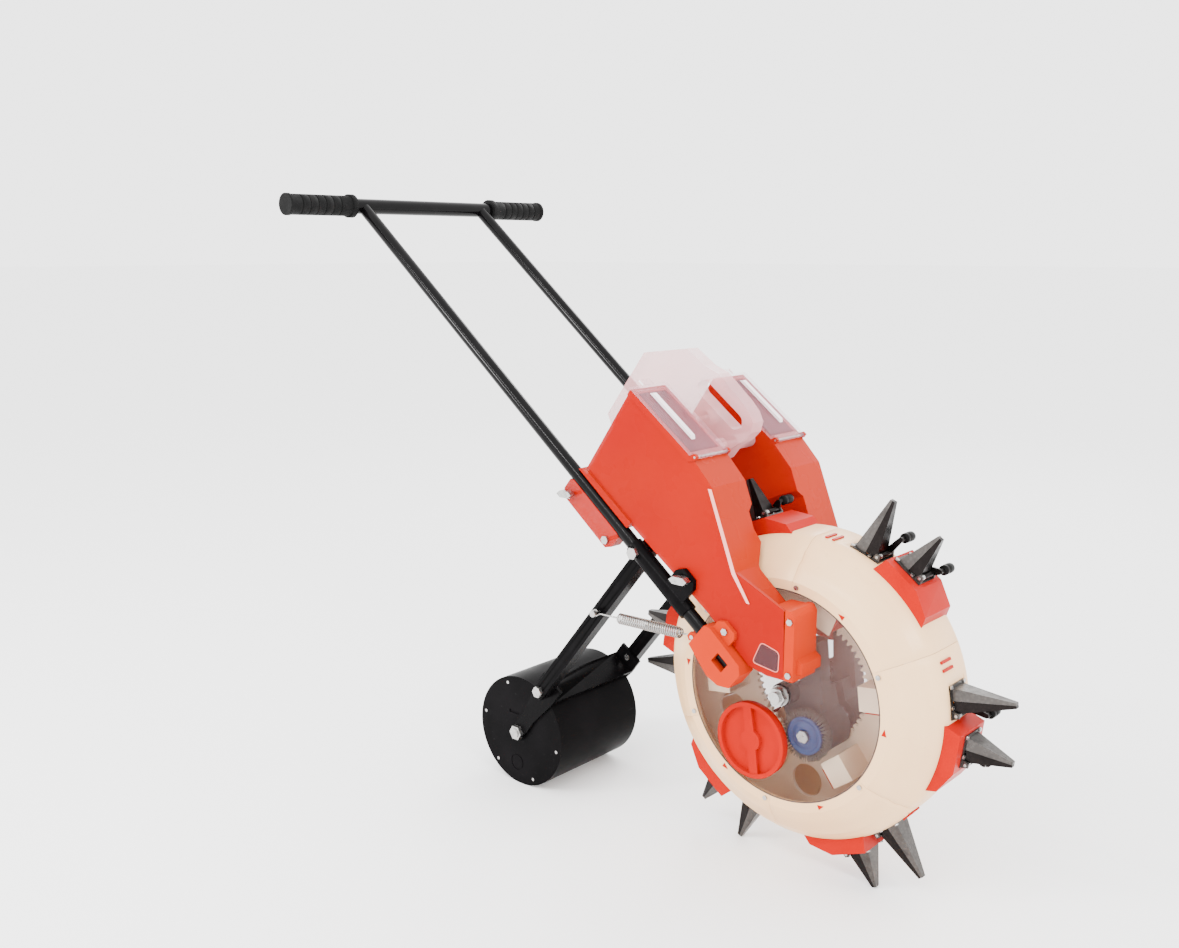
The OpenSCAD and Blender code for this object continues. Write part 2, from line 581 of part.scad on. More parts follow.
module cap() difference() {
    union() {
        ycyl(cap_p, cap_r, -disc_y - 12, -disc_y - 0.1);
        ycyl(cap_p, cap_r - 5, -disc_y - 2, -disc_y + disc_t);
    }
    difference() {
        ycyl(cap_p, cap_r - 6, -disc_y - 20, -disc_y - 5);
        // grip bar with a round middle
        slab(-disc_y - 11, -disc_y) polygon([cap_p + [-14, 50] * k, cap_p + [-1, 50] * k,
            cap_p + [8, 0] * k, cap_p + [14, -50] * k, cap_p + [1, -50] * k,
            cap_p + [-8, 0] * k]);
        ycyl(cap_p, 15 * k, -disc_y - 11, -disc_y);
    }
}
module right_cap() color([0.9, 0.26, 0.1]) place() cap();
module left_cap() color([0.9, 0.26, 0.1]) place() mirror([0, 1, 0]) cap();

// ---- drum -----------------------------------------------------------------
seam_a = 25.4;
ring_w = 13 * k;
function drum_half(o) = [[disc_r + (o > 0 ? 4 : 0), -disc_y + o],
    [disc_r + ring_w - o * 0.5, -disc_y + o],
    // stepped bands between the side ring and the rim
    [184.5 * k - o, -67.6 * drum_w / 160 + o * 0.4],
    [188 * k - o, -62.5 * drum_w / 160 + o * 0.4],
    [200 * k - o, -56.2 * drum_w / 160 + o * 0.4],
    [203.5 * k - o, -51 * drum_w / 160 + o * 0.4],
    [214 * k - o, -40 * drum_w / 160 + o * 0.3], [rim_r - o, -30]];
function flip(p) = [for (i = [len(p) - 1:-1:0]) [p[i][0], -p[i][1]]];
module segment(i) rotate([0, -seam_a - step * i, 0]) rotate([90, 0, 0])
    rotate_extrude(angle = step - 0.12, $fn = 256) union() {
        difference() {
            polygon(concat(drum_half(0), flip(drum_half(0))));
            polygon(concat([[0, -disc_y + drum_wall]], drum_half(drum_wall),
                flip(drum_half(drum_wall)), [[0, disc_y - drum_wall]]));
            translate([0, -500]) square([disc_r, 1000]);
        }
        for (m = [-1, 1]) translate([disc_r, m * (disc_y - 3.5) - 3.5])
            square([ring_w - 3, 7]);
        // rib that grips the rim of the ring gear's web
        for (m = [-1, 1]) translate([rim_r - drum_wall - 9 * k, m * 4.6 - 1.5])
            square([9 * k + 1, 3]);
    }
function a_angle(i) = half_pair + step * (i - 1);
function b_angle(i) = -half_pair + step * (i - 1);
module drum_segments() color([0.88, 0.8, 0.7]) place() difference() {
    for (i = [0:5]) segment(i);
    for (i = [1:6]) {
        at_angle(a_angle(i)) translate([0, -11, rim_r - 20]) cylinder(r = 4.5, h = 40);
        at_angle(b_angle(i)) translate([0, 11, rim_r - 20]) cylinder(r = 4.5, h = 40);
        // flat pad for the base plate
        at_angle(a_angle(i)) translate([-25, -23, rim_r - flat_d]) cube([51, 46, 10]);
    }
    for (i = [0:5]) pair()
        ycyl(screw_at(i), 1.6, -disc_y - 1, -disc_y + 6);
}
flat_d = 1.7;
function screw_at(i) = (disc_r + 6.5 * k) * [cos(seam_a - 2.6 + step * i),
                                            sin(seam_a - 2.6 + step * i)];

module ring_gear() color([0.9, 0.88, 0.84]) place() {
    difference() {
        translate([0, 3, 0]) rotate([90, 0, 0]) linear_extrude(height = 6) difference() {
            circle(r = rim_r - drum_wall - 0.2, $fn = 256);
            ring_2d();
        }
        for (i = [0:5]) rotate([0, -30 - step * i, 0]) translate([150 * k, 0, 0])
            rotate([90, 0, 0]) cylinder(r = 24 * k, h = 20, center = true);
    }
}

// seat block under each second duckbill
seat_h = 19;
seat_r = rim_r + seat_h;
seat_y = 36;
module seat() difference() {
    slab(-seat_y, seat_y) polygon([[-30.5 * k, 213 * k], [-25, seat_r], [29, seat_r],
        [61 * k, 219.8 * k], [65.7 * k, 205.8 * k]]);
    rotate([90, 0, 0]) rotate_extrude($fn = 256) polygon([[0, -45],
        [214 * k + seat_gap, -40 * drum_w / 160], [rim_r + seat_gap, -30],
        [rim_r + seat_gap, 30], [214 * k + seat_gap, 40 * drum_w / 160], [0, 45]]);
    translate([0, 11, rim_r - 20]) cylinder(r = 4.5, h = 60);
}
module bill_seats() color([0.9, 0.28, 0.12]) place()
    for (i = [1:6]) at_angle(b_angle(i)) seat();

// duckbill parts in the local frame of one bill, base at height b
hinge_x = 18.5;
hinge_z = 4.6;
pin_r = 2;
module base_plate() difference() {
    union() {
        translate([-21, -21, -flat_d]) cube([45, 42, flat_d + 0.3]);
        for (y = [-18.4, 18.6]) slab(y, y + 3) polygon([[hinge_x - 6, 0], [hinge_x - 3, 8.5],
            [hinge_x + 3, 8.5], [hinge_x + 5.5, 0]]);
    }
    translate([0, -11, -5]) cylinder(r = 4.5, h = 10);
    translate([0, 11, -5]) cylinder(r = 4.5, h = 10);
    ycyl([hinge_x, hinge_z], pin_r, -30, 30);
    for (q = plate_holes) translate([q[0], q[1], -5]) cylinder(r = 1.7, h = 10);
}
plate_holes = [[-18.8, -18.4], [-18.8, 18.4], [8.5, -18.4], [8.5, 18.4]];
module fixed_jaw(h) {
    base_plate();
    difference() {
        taper([-17, -0.15, 15], 0, [-tip_half, -0.15, tip_half], h);
        taper([-15, 1, 13], -1, [-tip_half + 1.6, 1, tip_half - 1.6], h - 6);
    }
}
module fixed_jaws() color([0.62, 0.62, 0.62]) place() for (i = [1:6]) {
    at_angle(a_angle(i)) translate([0, 0, rim_r]) fixed_jaw(bill_len);
    at_angle(b_angle(i)) translate([0, 0, seat_r + flat_d]) fixed_jaw(bill_len - seat_h
        - flat_d);
}
module jaw(h, kz) {
    difference() {
        union() {
            difference() {
                taper([0.15, 17, 15], 1.2, [0.15, tip_half, tip_half], h);
                taper([-1, 15, 13], 0, [-1, tip_half - 1.6, tip_half - 1.6], h - 6);
            }
            ycyl([hinge_x, hinge_z], 3.6, -9, 18.2);
            // lever that carries the knob
            slab(15.2, 18.2) polygon([[hinge_x - 3.4, hinge_z + 1], [hinge_x + 2, hinge_z - 2],
                [27.5, kz - 3], [27.5, kz + 3], [22.5, kz + 3], [13.5, 12]]);
            ycyl([25, kz], 3, 15.2, 44);
        }
        ycyl([hinge_x, hinge_z], pin_r + run_gap, -20, 30);
        // pocket for the closing spring
        ycyl([hinge_x, hinge_z], 4.3, -20, -9);
    }
    // rubber knob pushed over the lever's peg
    difference() {
        ycyl([25, kz], 6.5, 26, 46);
        ycyl([25, kz], 3, 20, 44);
    }
}
module jaw_a(i) color([0.3, 0.3, 0.3]) place() at_angle(a_angle(i))
    translate([0, 0, rim_r]) jaw(bill_len, 29);
module jaw_b(i) color([0.3, 0.3, 0.3]) place() at_angle(b_angle(i))
    translate([0, 0, seat_r + flat_d]) jaw(bill_len - seat_h - flat_d, 14.5);
module jaw_a1() jaw_a(1);
module jaw_a2() jaw_a(2);
module jaw_a3() jaw_a(3);
module jaw_a4() jaw_a(4);
module jaw_a5() jaw_a(5);
module jaw_a6() jaw_a(6);
module jaw_b1() jaw_b(1);
module jaw_b2() jaw_b(2);
module jaw_b3() jaw_b(3);
module jaw_b4() jaw_b(4);
module jaw_b5() jaw_b(5);
module jaw_b6() jaw_b(6);

// runs its children at every duckbill's base
module each_bill() for (i = [1:6]) {
    at_angle(a_angle(i)) translate([0, 0, rim_r]) children();
    at_angle(b_angle(i)) translate([0, 0, seat_r + flat_d]) children();
}
module hinge_pins() color([0.7, 0.7, 0.7]) place() each_bill()
    ycyl([hinge_x, hinge_z], pin_r, -19.4, 22.6);
module jaw_springs() color([0.5, 0.5, 0.52]) place() each_bill()
    ytube([hinge_x, hinge_z], 3.8, pin_r + run_gap, -15.2, -9.3);
module bill_screws() color([0.68, 0.68, 0.68]) place() each_bill()
    for (q = plate_holes) translate([q[0], q[1], 0]) {
        translate([0, 0, -flat_d]) cylinder(r = 1.6, h = flat_d + 1);
        translate([0, 0, 0.3]) cylinder(r = 2.9, h = 1.8);
    }

// seed cups on the web, near side for seed and far side for fertilizer
module scoop() difference() {
    translate([-17 * k, -54, 104 * k]) cube([34 * k, 51, 38 * k]);
    translate([-15 * k, -52, 100 * k]) cube([34 * k, 45, 40 * k]);
    translate([0, -30, 110 * k]) cylinder(r = 7, h = 60);
}
module seed_scoops() color([0.93, 0.9, 0.86]) place() {
    for (i = [1:6]) at_angle(a_angle(i)) scoop();
    for (i = [1:6]) at_angle(b_angle(i)) mirror([0, 1, 0]) scoop();
}
module flap() translate([17 * k, -53.5, 112 * k]) cube([2.2, 50, 29 * k]);
module scoop_flaps() color([0.92, 0.25, 0.1]) place() {
    for (i = [1:6]) at_angle(a_angle(i)) flap();
    for (i = [1:6]) at_angle(b_angle(i)) mirror([0, 1, 0]) flap();
}
module seam_clips() color([0.92, 0.3, 0.12]) place() for (i = [0:5], d = [-1.4, 1.4])
    at_angle(seam_a - 5.2 + d + step * i) translate([-2, -30, rim_r]) cube([4, 27, 2.4]);
module drum_screws() color([0.66, 0.66, 0.66]) place() for (i = [0:5]) pair() {
    ycyl(screw_at(i), 1.6, -disc_y, -disc_y + 5);
    ycyl(screw_at(i), 3.4, -disc_y - 2, -disc_y);
}
module drum_arrows() color([0.92, 0.3, 0.12]) place() for (i = [0:5]) pair()
    rotate([0, 4 - step * i, 0]) slab(-disc_y - 0.5, -disc_y)
        polygon([[disc_r + 3 * k, -4.5], [disc_r + 6.5 * k, 5], [disc_r + 10 * k, -4.5]]);

// ---- press arm, yoke, roller ----------------------------------------------
module along_arm() translate([pivot[0], 0, pivot[1]]) rotate([0, -arm_a, 0]) children();
module press_arm() difference() {
    translate([0, -arm_y, 0]) along_arm() difference() {
        translate([-arm_s / 2, -arm_s / 2, -arm_s / 2])
            cube([arm_len + arm_s, arm_s, arm_s]);
        translate([-arm_s / 2 + tube_wall, -arm_s / 2 + tube_wall, -arm_s / 2 + tube_wall])
            cube([arm_len + arm_s - 2 * tube_wall, arm_s - 2 * tube_wall,
                arm_s - 2 * tube_wall]);
    }
    ycyl(pivot, pivot_r + run_gap, -arm_y - 30, -arm_y + 30);
    ycyl(elbow, 5, -arm_y - 30, -arm_y + 30);
    ycyl(hook, 3, -arm_y - 30, -arm_y + 30);
}
module press_arms() color([0.03, 0.03, 0.03]) place() pair() press_arm();

module arm_bolts() color([0.68, 0.68, 0.68]) place() pair() {
    ycyl(elbow, 5, -arm_y - arm_s / 2 - 3, -yoke_y + yoke_t + 1);
    head(elbow, arm_y + arm_s / 2, 9, 6);
    // peg for the spring hook
    ycyl(hook, 3, -spring_y - 6, -arm_y + arm_s / 2);
    ycyl(hook, 5, -spring_y - 8, -spring_y - 5.5);
    // roller axle nut
    difference() {
        yhex([roller_x, roller_z], roller_ax_r + 5, -yoke_y - 7, -yoke_y);
        ycyl([roller_x, roller_z], roller_ax_r, -yoke_y - 20, -yoke_y + 5);
    }
}
yk = unit(elbow - [roller_x, roller_z]);
yn = [yk[1], -yk[0]];
yr = norm(elbow - [roller_x, roller_z]);
function on_yoke(u, v) = [roller_x, roller_z] + u * yk + v * yn;
module yoke() color([0.03, 0.03, 0.03]) place() difference() {
    union() {
        pair() slab(-yoke_y, -yoke_y + yoke_t) polygon([on_yoke(-14, -8), on_yoke(-8, -13),
            on_yoke(40, -13), on_yoke(yr - 16, -22), on_yoke(yr + 12, -22),
            on_yoke(yr + 14, 22), on_yoke(yr - 16, 22), on_yoke(40, 13), on_yoke(-8, 13),
            on_yoke(-14, 8)]);
        slab(-yoke_y, yoke_y) polygon([on_yoke(yr - 16, -22), on_yoke(yr - 11, -22),
            on_yoke(yr - 11, 22), on_yoke(yr - 16, 22)]);
    }
    ycyl([roller_x, roller_z], roller_ax_r, -yoke_y - 1, yoke_y + 1);
    pair() ycyl(elbow, 5, -yoke_y - 1, -yoke_y + yoke_t + 1);
}
module roller_axle() color([0.6, 0.6, 0.6]) place()
    ycyl([roller_x, roller_z], roller_ax_r, -yoke_y - 9, yoke_y + 9);
module roller_shell() color([0.03, 0.03, 0.03]) place()
    ytube([roller_x, roller_z], roller_r, roller_r - 3, -roller_half, roller_half);
roller_p = [roller_x, roller_z];
module roller_ends() color([0.04, 0.04, 0.05]) place() pair() difference() {
    ycyl(roller_p, roller_r - 3, -roller_half, -roller_half + 3);
    ycyl(roller_p, roller_ax_r + run_gap, -roller_half - 1, -roller_half + 5);
    slab(-roller_half - 1, -roller_half + 1.5) polygon([for (q = [[-25, 27], [-3, 27],
        [-3, 32], [-25, 32]]) roller_p + q * roller_r / 92]);
    ytube(roller_p + [-8, -57] * roller_r / 92, 14, 12, -roller_half - 1,
        -roller_half + 1);
    for (i = [0:5]) ycyl(end_screw(i), 1.7, -roller_half - 1, -roller_half + 5);
}
function end_screw(i) = roller_p + (roller_r - 10) * [cos(110 + 60 * i), sin(110 + 60 * i)];
module roller_screws() color([0.68, 0.68, 0.68]) place() pair() for (i = [0:5]) {
    ycyl(end_screw(i), 1.7, -roller_half, -roller_half + 4);
    ycyl(end_screw(i), 2.6, -roller_half - 0.5, -roller_half);
}
coil_r = 7;
module spring() difference() {
    union() {
        translate([eye_pin[0], -spring_y, eye_pin[1]]) rotate([0, -spring_real_a, 0])
            rotate([0, 90, 0]) {
                translate([0, 0, 22]) cylinder(r = coil_r, h = spring_real - 66);
                translate([0, 0, 4]) cylinder(r = 1.3, h = spring_real - 8);
            }
        ycyl(eye_pin, 5.4, -spring_y - 1.3, -spring_y + 1.3);
        ycyl(hook, 5.6, -spring_y - 1.3, -spring_y + 1.3);
    }
    ycyl(eye_pin, 2.9 + run_gap, -spring_y - 10, -spring_y + 10);
    ycyl(hook, 3.3, -spring_y - 10, -spring_y + 10);
}
spring_real = norm(hook - eye_pin);
spring_real_a = atan2(hook[1] - eye_pin[1], hook[0] - eye_pin[0]);
module right_spring() color([0.72, 0.72, 0.72]) place() spring();
module left_spring() color([0.72, 0.72, 0.72]) place() mirror([0, 1, 0]) spring();

handlebar();
right_pole();
left_pole();
right_grip();
left_grip();
right_socket();
left_socket();
seed_hopper();
fertilizer_hopper();
pole_clamps();
clamp_sleeves();
side_discs();
spout_blocks();
axle();
frame_bolts();
centre_guard();
right_metering_case();
left_metering_case();
drum_segments();
ring_gear();
bill_seats();
fixed_jaws();
hinge_pins();
jaw_springs();
bill_screws();
seed_scoops();
scoop_flaps();
seam_clips();
drum_screws();
drum_arrows();
jaw_a1();
jaw_a2();
jaw_a3();
jaw_a4();
jaw_a5();
jaw_a6();
jaw_b1();
jaw_b2();
jaw_b3();
jaw_b4();
jaw_b5();
jaw_b6();
metering_shaft();
metering_rings();
brush_wheels();
right_lid();
left_lid();
right_cap();
left_cap();
press_arms();
arm_bolts();
yoke();
roller_axle();
roller_shell();
roller_ends();
roller_screws();
right_spring();
left_spring();
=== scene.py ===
"""Looks for the two-hopper corn planter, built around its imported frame."""
import json
import math
import random

import bmesh
import bpy
from bpy.props import FloatProperty, FloatVectorProperty, IntProperty, PointerProperty
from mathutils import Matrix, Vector


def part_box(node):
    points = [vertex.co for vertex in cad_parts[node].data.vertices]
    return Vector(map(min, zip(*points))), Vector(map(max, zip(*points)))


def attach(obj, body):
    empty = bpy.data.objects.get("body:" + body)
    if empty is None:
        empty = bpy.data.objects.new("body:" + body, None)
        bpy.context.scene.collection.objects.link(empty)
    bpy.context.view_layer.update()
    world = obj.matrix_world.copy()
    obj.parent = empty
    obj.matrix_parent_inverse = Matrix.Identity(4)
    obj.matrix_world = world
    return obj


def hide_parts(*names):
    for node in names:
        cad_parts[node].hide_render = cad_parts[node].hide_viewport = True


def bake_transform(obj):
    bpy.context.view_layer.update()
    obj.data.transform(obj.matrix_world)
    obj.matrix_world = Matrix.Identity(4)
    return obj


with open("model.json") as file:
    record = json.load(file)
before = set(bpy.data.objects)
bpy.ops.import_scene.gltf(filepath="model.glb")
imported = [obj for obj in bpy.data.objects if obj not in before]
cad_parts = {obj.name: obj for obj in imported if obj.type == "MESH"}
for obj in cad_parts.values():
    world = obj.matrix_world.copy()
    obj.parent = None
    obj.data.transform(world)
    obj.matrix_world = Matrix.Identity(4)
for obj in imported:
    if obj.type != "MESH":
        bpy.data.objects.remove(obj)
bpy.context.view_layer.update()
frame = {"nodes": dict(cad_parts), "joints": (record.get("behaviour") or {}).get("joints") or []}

bl_info = {
    "name": "Corn planter",
    "version": (1, 0, 0),
    "blender": (4, 5, 0),
    "location": "View3D > Sidebar > Planter",
    "description": "Finishes and fine parts of a hand-push corn planter",
    "category": "Object",
}

NODES = frame["nodes"]
JOINTS = {j["name"]: j for j in frame["joints"]}
MM = 0.001
AXLE = Vector(JOINTS["drum_spin"]["pos_m"])
SHAFT = Vector(JOINTS["metering_spin"]["pos_m"])
SIDES = {"right": -1, "left": 1}
JAWS = [f"jaw_{row}{i}" for row in "ab" for i in range(1, 7)]
# edges sharper than this are rounded, after vertices this close are joined
SHARP_ANGLE = 35.0
WELD_GAP = 0.02 * MM

# hoppers: corners of the pane over the outlet, from the axle
PANE = [AXLE + Vector((x * MM, 0, z * MM))
        for x, z in ((-10, 60), (3, 90), (31, 82), (30, 54))]
PANE_CORNER = 6 * MM
PANE_STEPS = 6
PANE_RIM = 0.7 * MM
BEAD_HEIGHT = 1.5 * MM
# lids: how far in from the outer edge the rib lies, whose white colour is a painted highlight
RIB_NEAR, RIB_FAR = 22 * MM, 33.5 * MM
# duckbills: hinge set-off from the drum's radius, and where the knobs sit
JAW_SET_OFF = 18.5 * MM
KNOB_RISE = {"a": 24.4 * MM, "b": 9.9 * MM}
KNOB_AHEAD = 6.5 * MM
KNOB_LENGTH = 20.3 * MM
# brush wheels
HUB_WIDTH = 14.5 * MM
HUB_BORE = 6 * MM
TUFT_ROWS = 3
TUFT_BRISTLES = 4
BRISTLE_SEED = 7
# press springs: eye and hook loops, and the straight leads to the coil
EYE_INSET, EYE_LOOP, EYE_LEAD = 5.4 * MM, 4.1 * MM, 21 * MM
HOOK_INSET, HOOK_LOOP, HOOK_LEAD = 5.6 * MM, 4.4 * MM, 43 * MM
LOOP_POINTS = 15
TURN_POINTS = 16
# stage
FLOOR_HALF = 60.0
CAMERA_FROM_AXLE = Vector((0.8343, -1.4037, 0.5963))
CAMERA_DOWN, CAMERA_TURN = 10.65, 41.77
CAMERA_LENS, CAMERA_SENSOR, CAMERA_REACH = 36.54, 36, 300
SKY = 0.95
SKY_STRENGTH = 3.6
STRIP_LENGTH = 2.4
# name, place, point aimed at, size and power of each lamp
LAMPS = (("key", (-1.6, -2.4, 1.3), (0, 0, 0.45), 0.5, 50),
         ("strip", (0.05, -1.9, 2.2), (-0.1, -0.13, 0.5), 0.07, 45),
         ("fill", (2.6, -1.2, 1.7), (0.1, 0, 0.4), 0.6, 40),
         ("back", (-0.8, 2.6, 2.4), (0, 0, 0.4), 0.8, 30))


# ---- mesh tools --------------------------------------------------------------
def piece_from(bm, name, body, material, smooth=True):
    """Turns a bmesh into a piece that rides on a body."""
    bmesh.ops.recalc_face_normals(bm, faces=bm.faces)
    mesh = bpy.data.meshes.new(name)
    bm.to_mesh(mesh)
    bm.free()
    obj = bpy.data.objects.new(name, mesh)
    bpy.context.scene.collection.objects.link(obj)
    for p in mesh.polygons:
        p.use_smooth = smooth
    mesh.materials.append(material)
    if body:
        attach(obj, body)
    return obj


def sweep(bm, path, radius, sides=10, closed=False):
    """Round bar along a path of points; radius is a number or one per point."""
    n = len(path)
    rings = []
    up = None
    for i, p in enumerate(path):
        a = path[(i - 1) % n] if closed or i > 0 else p
        b = path[(i + 1) % n] if closed or i < n - 1 else p
        t = (b - a).normalized()
        if up is None:
            up = t.orthogonal().normalized()
        up = (up - t * up.dot(t)).normalized()
        side = t.cross(up)
        r = radius[i] if isinstance(radius, (list, tuple)) else radius
        rings.append([bm.verts.new(p + r * (math.cos(q) * up + math.sin(q) * side))
                      for q in (2 * math.pi * k / sides for k in range(sides))])
    for i in range(n if closed else n - 1):
        a, b = rings[i], rings[(i + 1) % n]
        for k in range(sides):
            bm.faces.new((a[k], a[(k + 1) % sides], b[(k + 1) % sides], b[k]))
    if not closed:
        bm.faces.new(list(reversed(rings[0])))
        bm.faces.new(rings[-1])


def turned(bm, centre, profile, sides=96):
    """Solid of revolution about the Y axis through centre, profile of (y, radius)."""
    rings = []
    for y, r in profile:
        rings.append([bm.verts.new((centre.x + r * math.cos(q), y, centre.z + r * math.sin(q)))
                      for q in (2 * math.pi * k / sides for k in range(sides))])
    for a, b in zip(rings, rings[1:]):
        for k in range(sides):
            bm.faces.new((a[k], a[(k + 1) % sides], b[(k + 1) % sides], b[k]))
    return rings


def turned_solid(bm, centre, profile, sides=96):
    """As turned, with the two ends filled."""
    rings = turned(bm, centre, profile, sides)
    bm.faces.new(list(reversed(rings[0])))
    bm.faces.new(rings[-1])


def turned_ring(bm, centre, profile, sides=128):
    """As turned, with the profile closed on itself."""
    rings = turned(bm, centre, profile, sides)
    a, b = rings[-1], rings[0]
    for k in range(sides):
        bm.faces.new((a[k], a[(k + 1) % sides], b[(k + 1) % sides], b[k]))


# ---- material tools -----------------------------------------------------------
class Finish:
    """A node material with a principled shader and helpers for its texture."""

    def __init__(self, name, colour, rough, metal=0.0, **sockets):
        self.mat = bpy.data.materials.new(name)
        self.mat.use_nodes = True
        self.nodes = self.mat.node_tree.nodes
        self.links = self.mat.node_tree.links
        self.shader = next(n for n in self.nodes if n.type == "BSDF_PRINCIPLED")
        self.put("Base Color", (*colour[:3], 1))
        self.put("Roughness", rough)
        self.put("Metallic", metal)
        for key, value in sockets.items():
            self.put(key.replace("_", " "), value)
        self.coords = self.nodes.new("ShaderNodeTexCoord").outputs["Object"]
        self.height = None

    def put(self, socket, value):
        self.shader.inputs[socket].default_value = value

    def noise(self, scale, detail=4.0, stretch=None, distortion=0.0):
        tex = self.nodes.new("ShaderNodeTexNoise")
        tex.inputs["Scale"].default_value = scale
        tex.inputs["Detail"].default_value = detail
        tex.inputs["Distortion"].default_value = distortion
        self.links.new(self.stretched(stretch), tex.inputs["Vector"])
        return tex.outputs["Fac"]

    def stretched(self, stretch):
        if stretch is None:
            return self.coords
        m = self.nodes.new("ShaderNodeMapping")
        m.inputs["Scale"].default_value = stretch
        self.links.new(self.coords, m.inputs["Vector"])
        return m.outputs["Vector"]

    def upward(self):
        split = self.nodes.new("ShaderNodeSeparateXYZ")
        self.links.new(self.coords, split.inputs["Vector"])
        return split.outputs["Z"]

    def facing(self, way, low, high, amount):
        """Mask of faces whose outward side looks the given way."""
        dot = self.nodes.new("ShaderNodeVectorMath")
        dot.operation = "DOT_PRODUCT"
        geo = self.nodes.new("ShaderNodeNewGeometry")
        self.links.new(geo.outputs["Normal"], dot.inputs[0])
        dot.inputs[1].default_value = Vector(way).normalized()
        return self.ramp(dot.outputs["Value"], low, high, 0, amount)

    def cells(self, scale, feature="F1"):
        tex = self.nodes.new("ShaderNodeTexVoronoi")
        tex.feature = feature
        tex.inputs["Scale"].default_value = scale
        self.links.new(self.coords, tex.inputs["Vector"])
        return tex.outputs["Distance"]

    def ramp(self, value, low, high, a=0.0, b=1.0):
        m = self.nodes.new("ShaderNodeMapRange")
        for key, v in (("From Min", low), ("From Max", high), ("To Min", a), ("To Max", b)):
            m.inputs[key].default_value = v
        self.links.new(value, m.inputs["Value"])
        return m.outputs["Result"]

    def tint(self, mask, colour):
        """Mixes another colour over what the base colour has so far, by a mask."""
        mix = self.nodes.new("ShaderNodeMix")
        mix.data_type = "RGBA"
        base = self.shader.inputs["Base Color"]
        if base.is_linked:
            self.links.new(base.links[0].from_socket, mix.inputs["A"])
        else:
            mix.inputs["A"].default_value = base.default_value
        mix.inputs["B"].default_value = (*colour[:3], 1)
        self.links.new(mask, mix.inputs["Factor"])
        self.links.new(mix.outputs["Result"], base)

    def vary_rough(self, value, low, high):
        self.links.new(self.ramp(value, 0.3, 0.7, low, high), self.shader.inputs["Roughness"])

    def bump(self, value, strength, depth):
        """Adds relief; later calls stack on earlier ones. depth is in metres."""
        b = self.nodes.new("ShaderNodeBump")
        b.inputs["Strength"].default_value = strength
        b.inputs["Distance"].default_value = depth
        self.links.new(value, b.inputs["Height"])
        if self.height is not None:
            self.links.new(self.height, b.inputs["Normal"])
        self.height = b.outputs["Normal"]
        self.links.new(self.height, self.shader.inputs["Normal"])


def black_paint(s, name="black_enamel", rough=0.25, shine=0.03):
    """Semi-gloss black enamel over steel, with orange peel and a few scuffs."""
    f = Finish(name, s.paint, rough)
    f.put("Specular IOR Level", shine)
    f.tint(f.ramp(f.noise(38, 6), 0.5, 0.8, 0, 0.6), (0.005, 0.0045, 0.005))
    f.tint(f.ramp(f.noise(260, 3), 0.74, 0.8, 0, 0.25), (0.014, 0.014, 0.014))
    f.vary_rough(f.noise(30, 3), rough * 0.85, rough * 1.2)
    f.bump(f.noise(420, 2), 0.03, 0.0002)
    return f.mat


def roller_paint(s):
    """Satin black on the sheet-steel roller, duller and dustier than the tubes."""
    f = Finish("roller_enamel", s.paint, 0.36, Specular_IOR_Level=0.02)
    f.tint(f.ramp(f.noise(9, 6), 0.45, 0.75, 0, 0.6), (0.007, 0.006, 0.007))
    f.tint(f.ramp(f.noise(160, 4, (1, 0.08, 1)), 0.68, 0.74, 0, 0.3), (0.03, 0.03, 0.03))
    f.vary_rough(f.noise(14, 5), 0.28, 0.44)
    f.bump(f.noise(300, 3), 0.15, 0.0004)
    f.bump(f.noise(5, 2), 0.2, 0.002)
    return f.mat


def grip_rubber():
    """Dull black rubber with a fine pebble."""
    f = Finish("grip_rubber", (0.005, 0.005, 0.005), 0.6, Specular_IOR_Level=0.06)
    f.tint(f.ramp(f.noise(60, 5), 0.5, 0.8, 0, 0.7), (0.014, 0.013, 0.013))
    f.bump(f.cells(900), 0.35, 0.0004)
    f.vary_rough(f.noise(40, 4), 0.5, 0.75)
    return f.mat


def orange_moulding(name, c, rough=0.36):
    """Glossy moulded plastic with slight flow marks and a fine satin texture."""
    f = Finish(name, c, rough, Specular_IOR_Level=0.12)
    f.put("Specular Tint", (1, 0.1, 0.03, 1))
    light = tuple(min(1, v * 1.15 + 0.004) for v in c)
    dark = tuple(v * 0.78 for v in c)
    f.tint(f.ramp(f.noise(7, 3, distortion=0.6), 0.4, 0.75, 0, 0.5), light)
    f.tint(f.ramp(f.noise(28, 5), 0.55, 0.8, 0, 0.35), dark)
    f.vary_rough(f.noise(24, 4), rough - 0.08, rough + 0.12)
    f.bump(f.noise(700, 2), 0.1, 0.0002)
    f.bump(f.noise(12, 2), 0.15, 0.0008)
    return f.mat


def hopper_shell(s):
    """Blow-moulded hopper wall: saturated, faintly see-through, with painted light making the
    faces turned forward and up a lighter orange.
    """
    f = Finish("hopper_shell", s.hopper, 0.26, Specular_IOR_Level=0.14)
    f.put("Specular Tint", (1, 0.12, 0.04, 1))
    # painted light: faces turned forward and up get the lighter orange as a painted glow
    f.tint(f.facing((1, 0, 0.25), 0.35, 0.95, 0.85), s.hopper_lit_face_and_mottle)
    # the same lighter orange also comes in random patches
    f.tint(f.ramp(f.noise(4.2, 1, distortion=0.4), 0.4, 0.72, 0, 0.4), s.hopper_lit_face_and_mottle)
    f.tint(f.ramp(f.noise(6.5, 1), 0.5, 0.8, 0, 0.4), tuple(v * 0.8 for v in s.hopper))
    f.links.new(f.ramp(f.noise(5, 1), 0.35, 0.7, 0.84, 0.95), f.shader.inputs["Alpha"])
    f.vary_rough(f.noise(16, 4), 0.2, 0.36)
    f.bump(f.noise(6, 1), 0.12, 0.0012)
    f.bump(f.noise(500, 2), 0.04, 0.0002)
    return f.mat


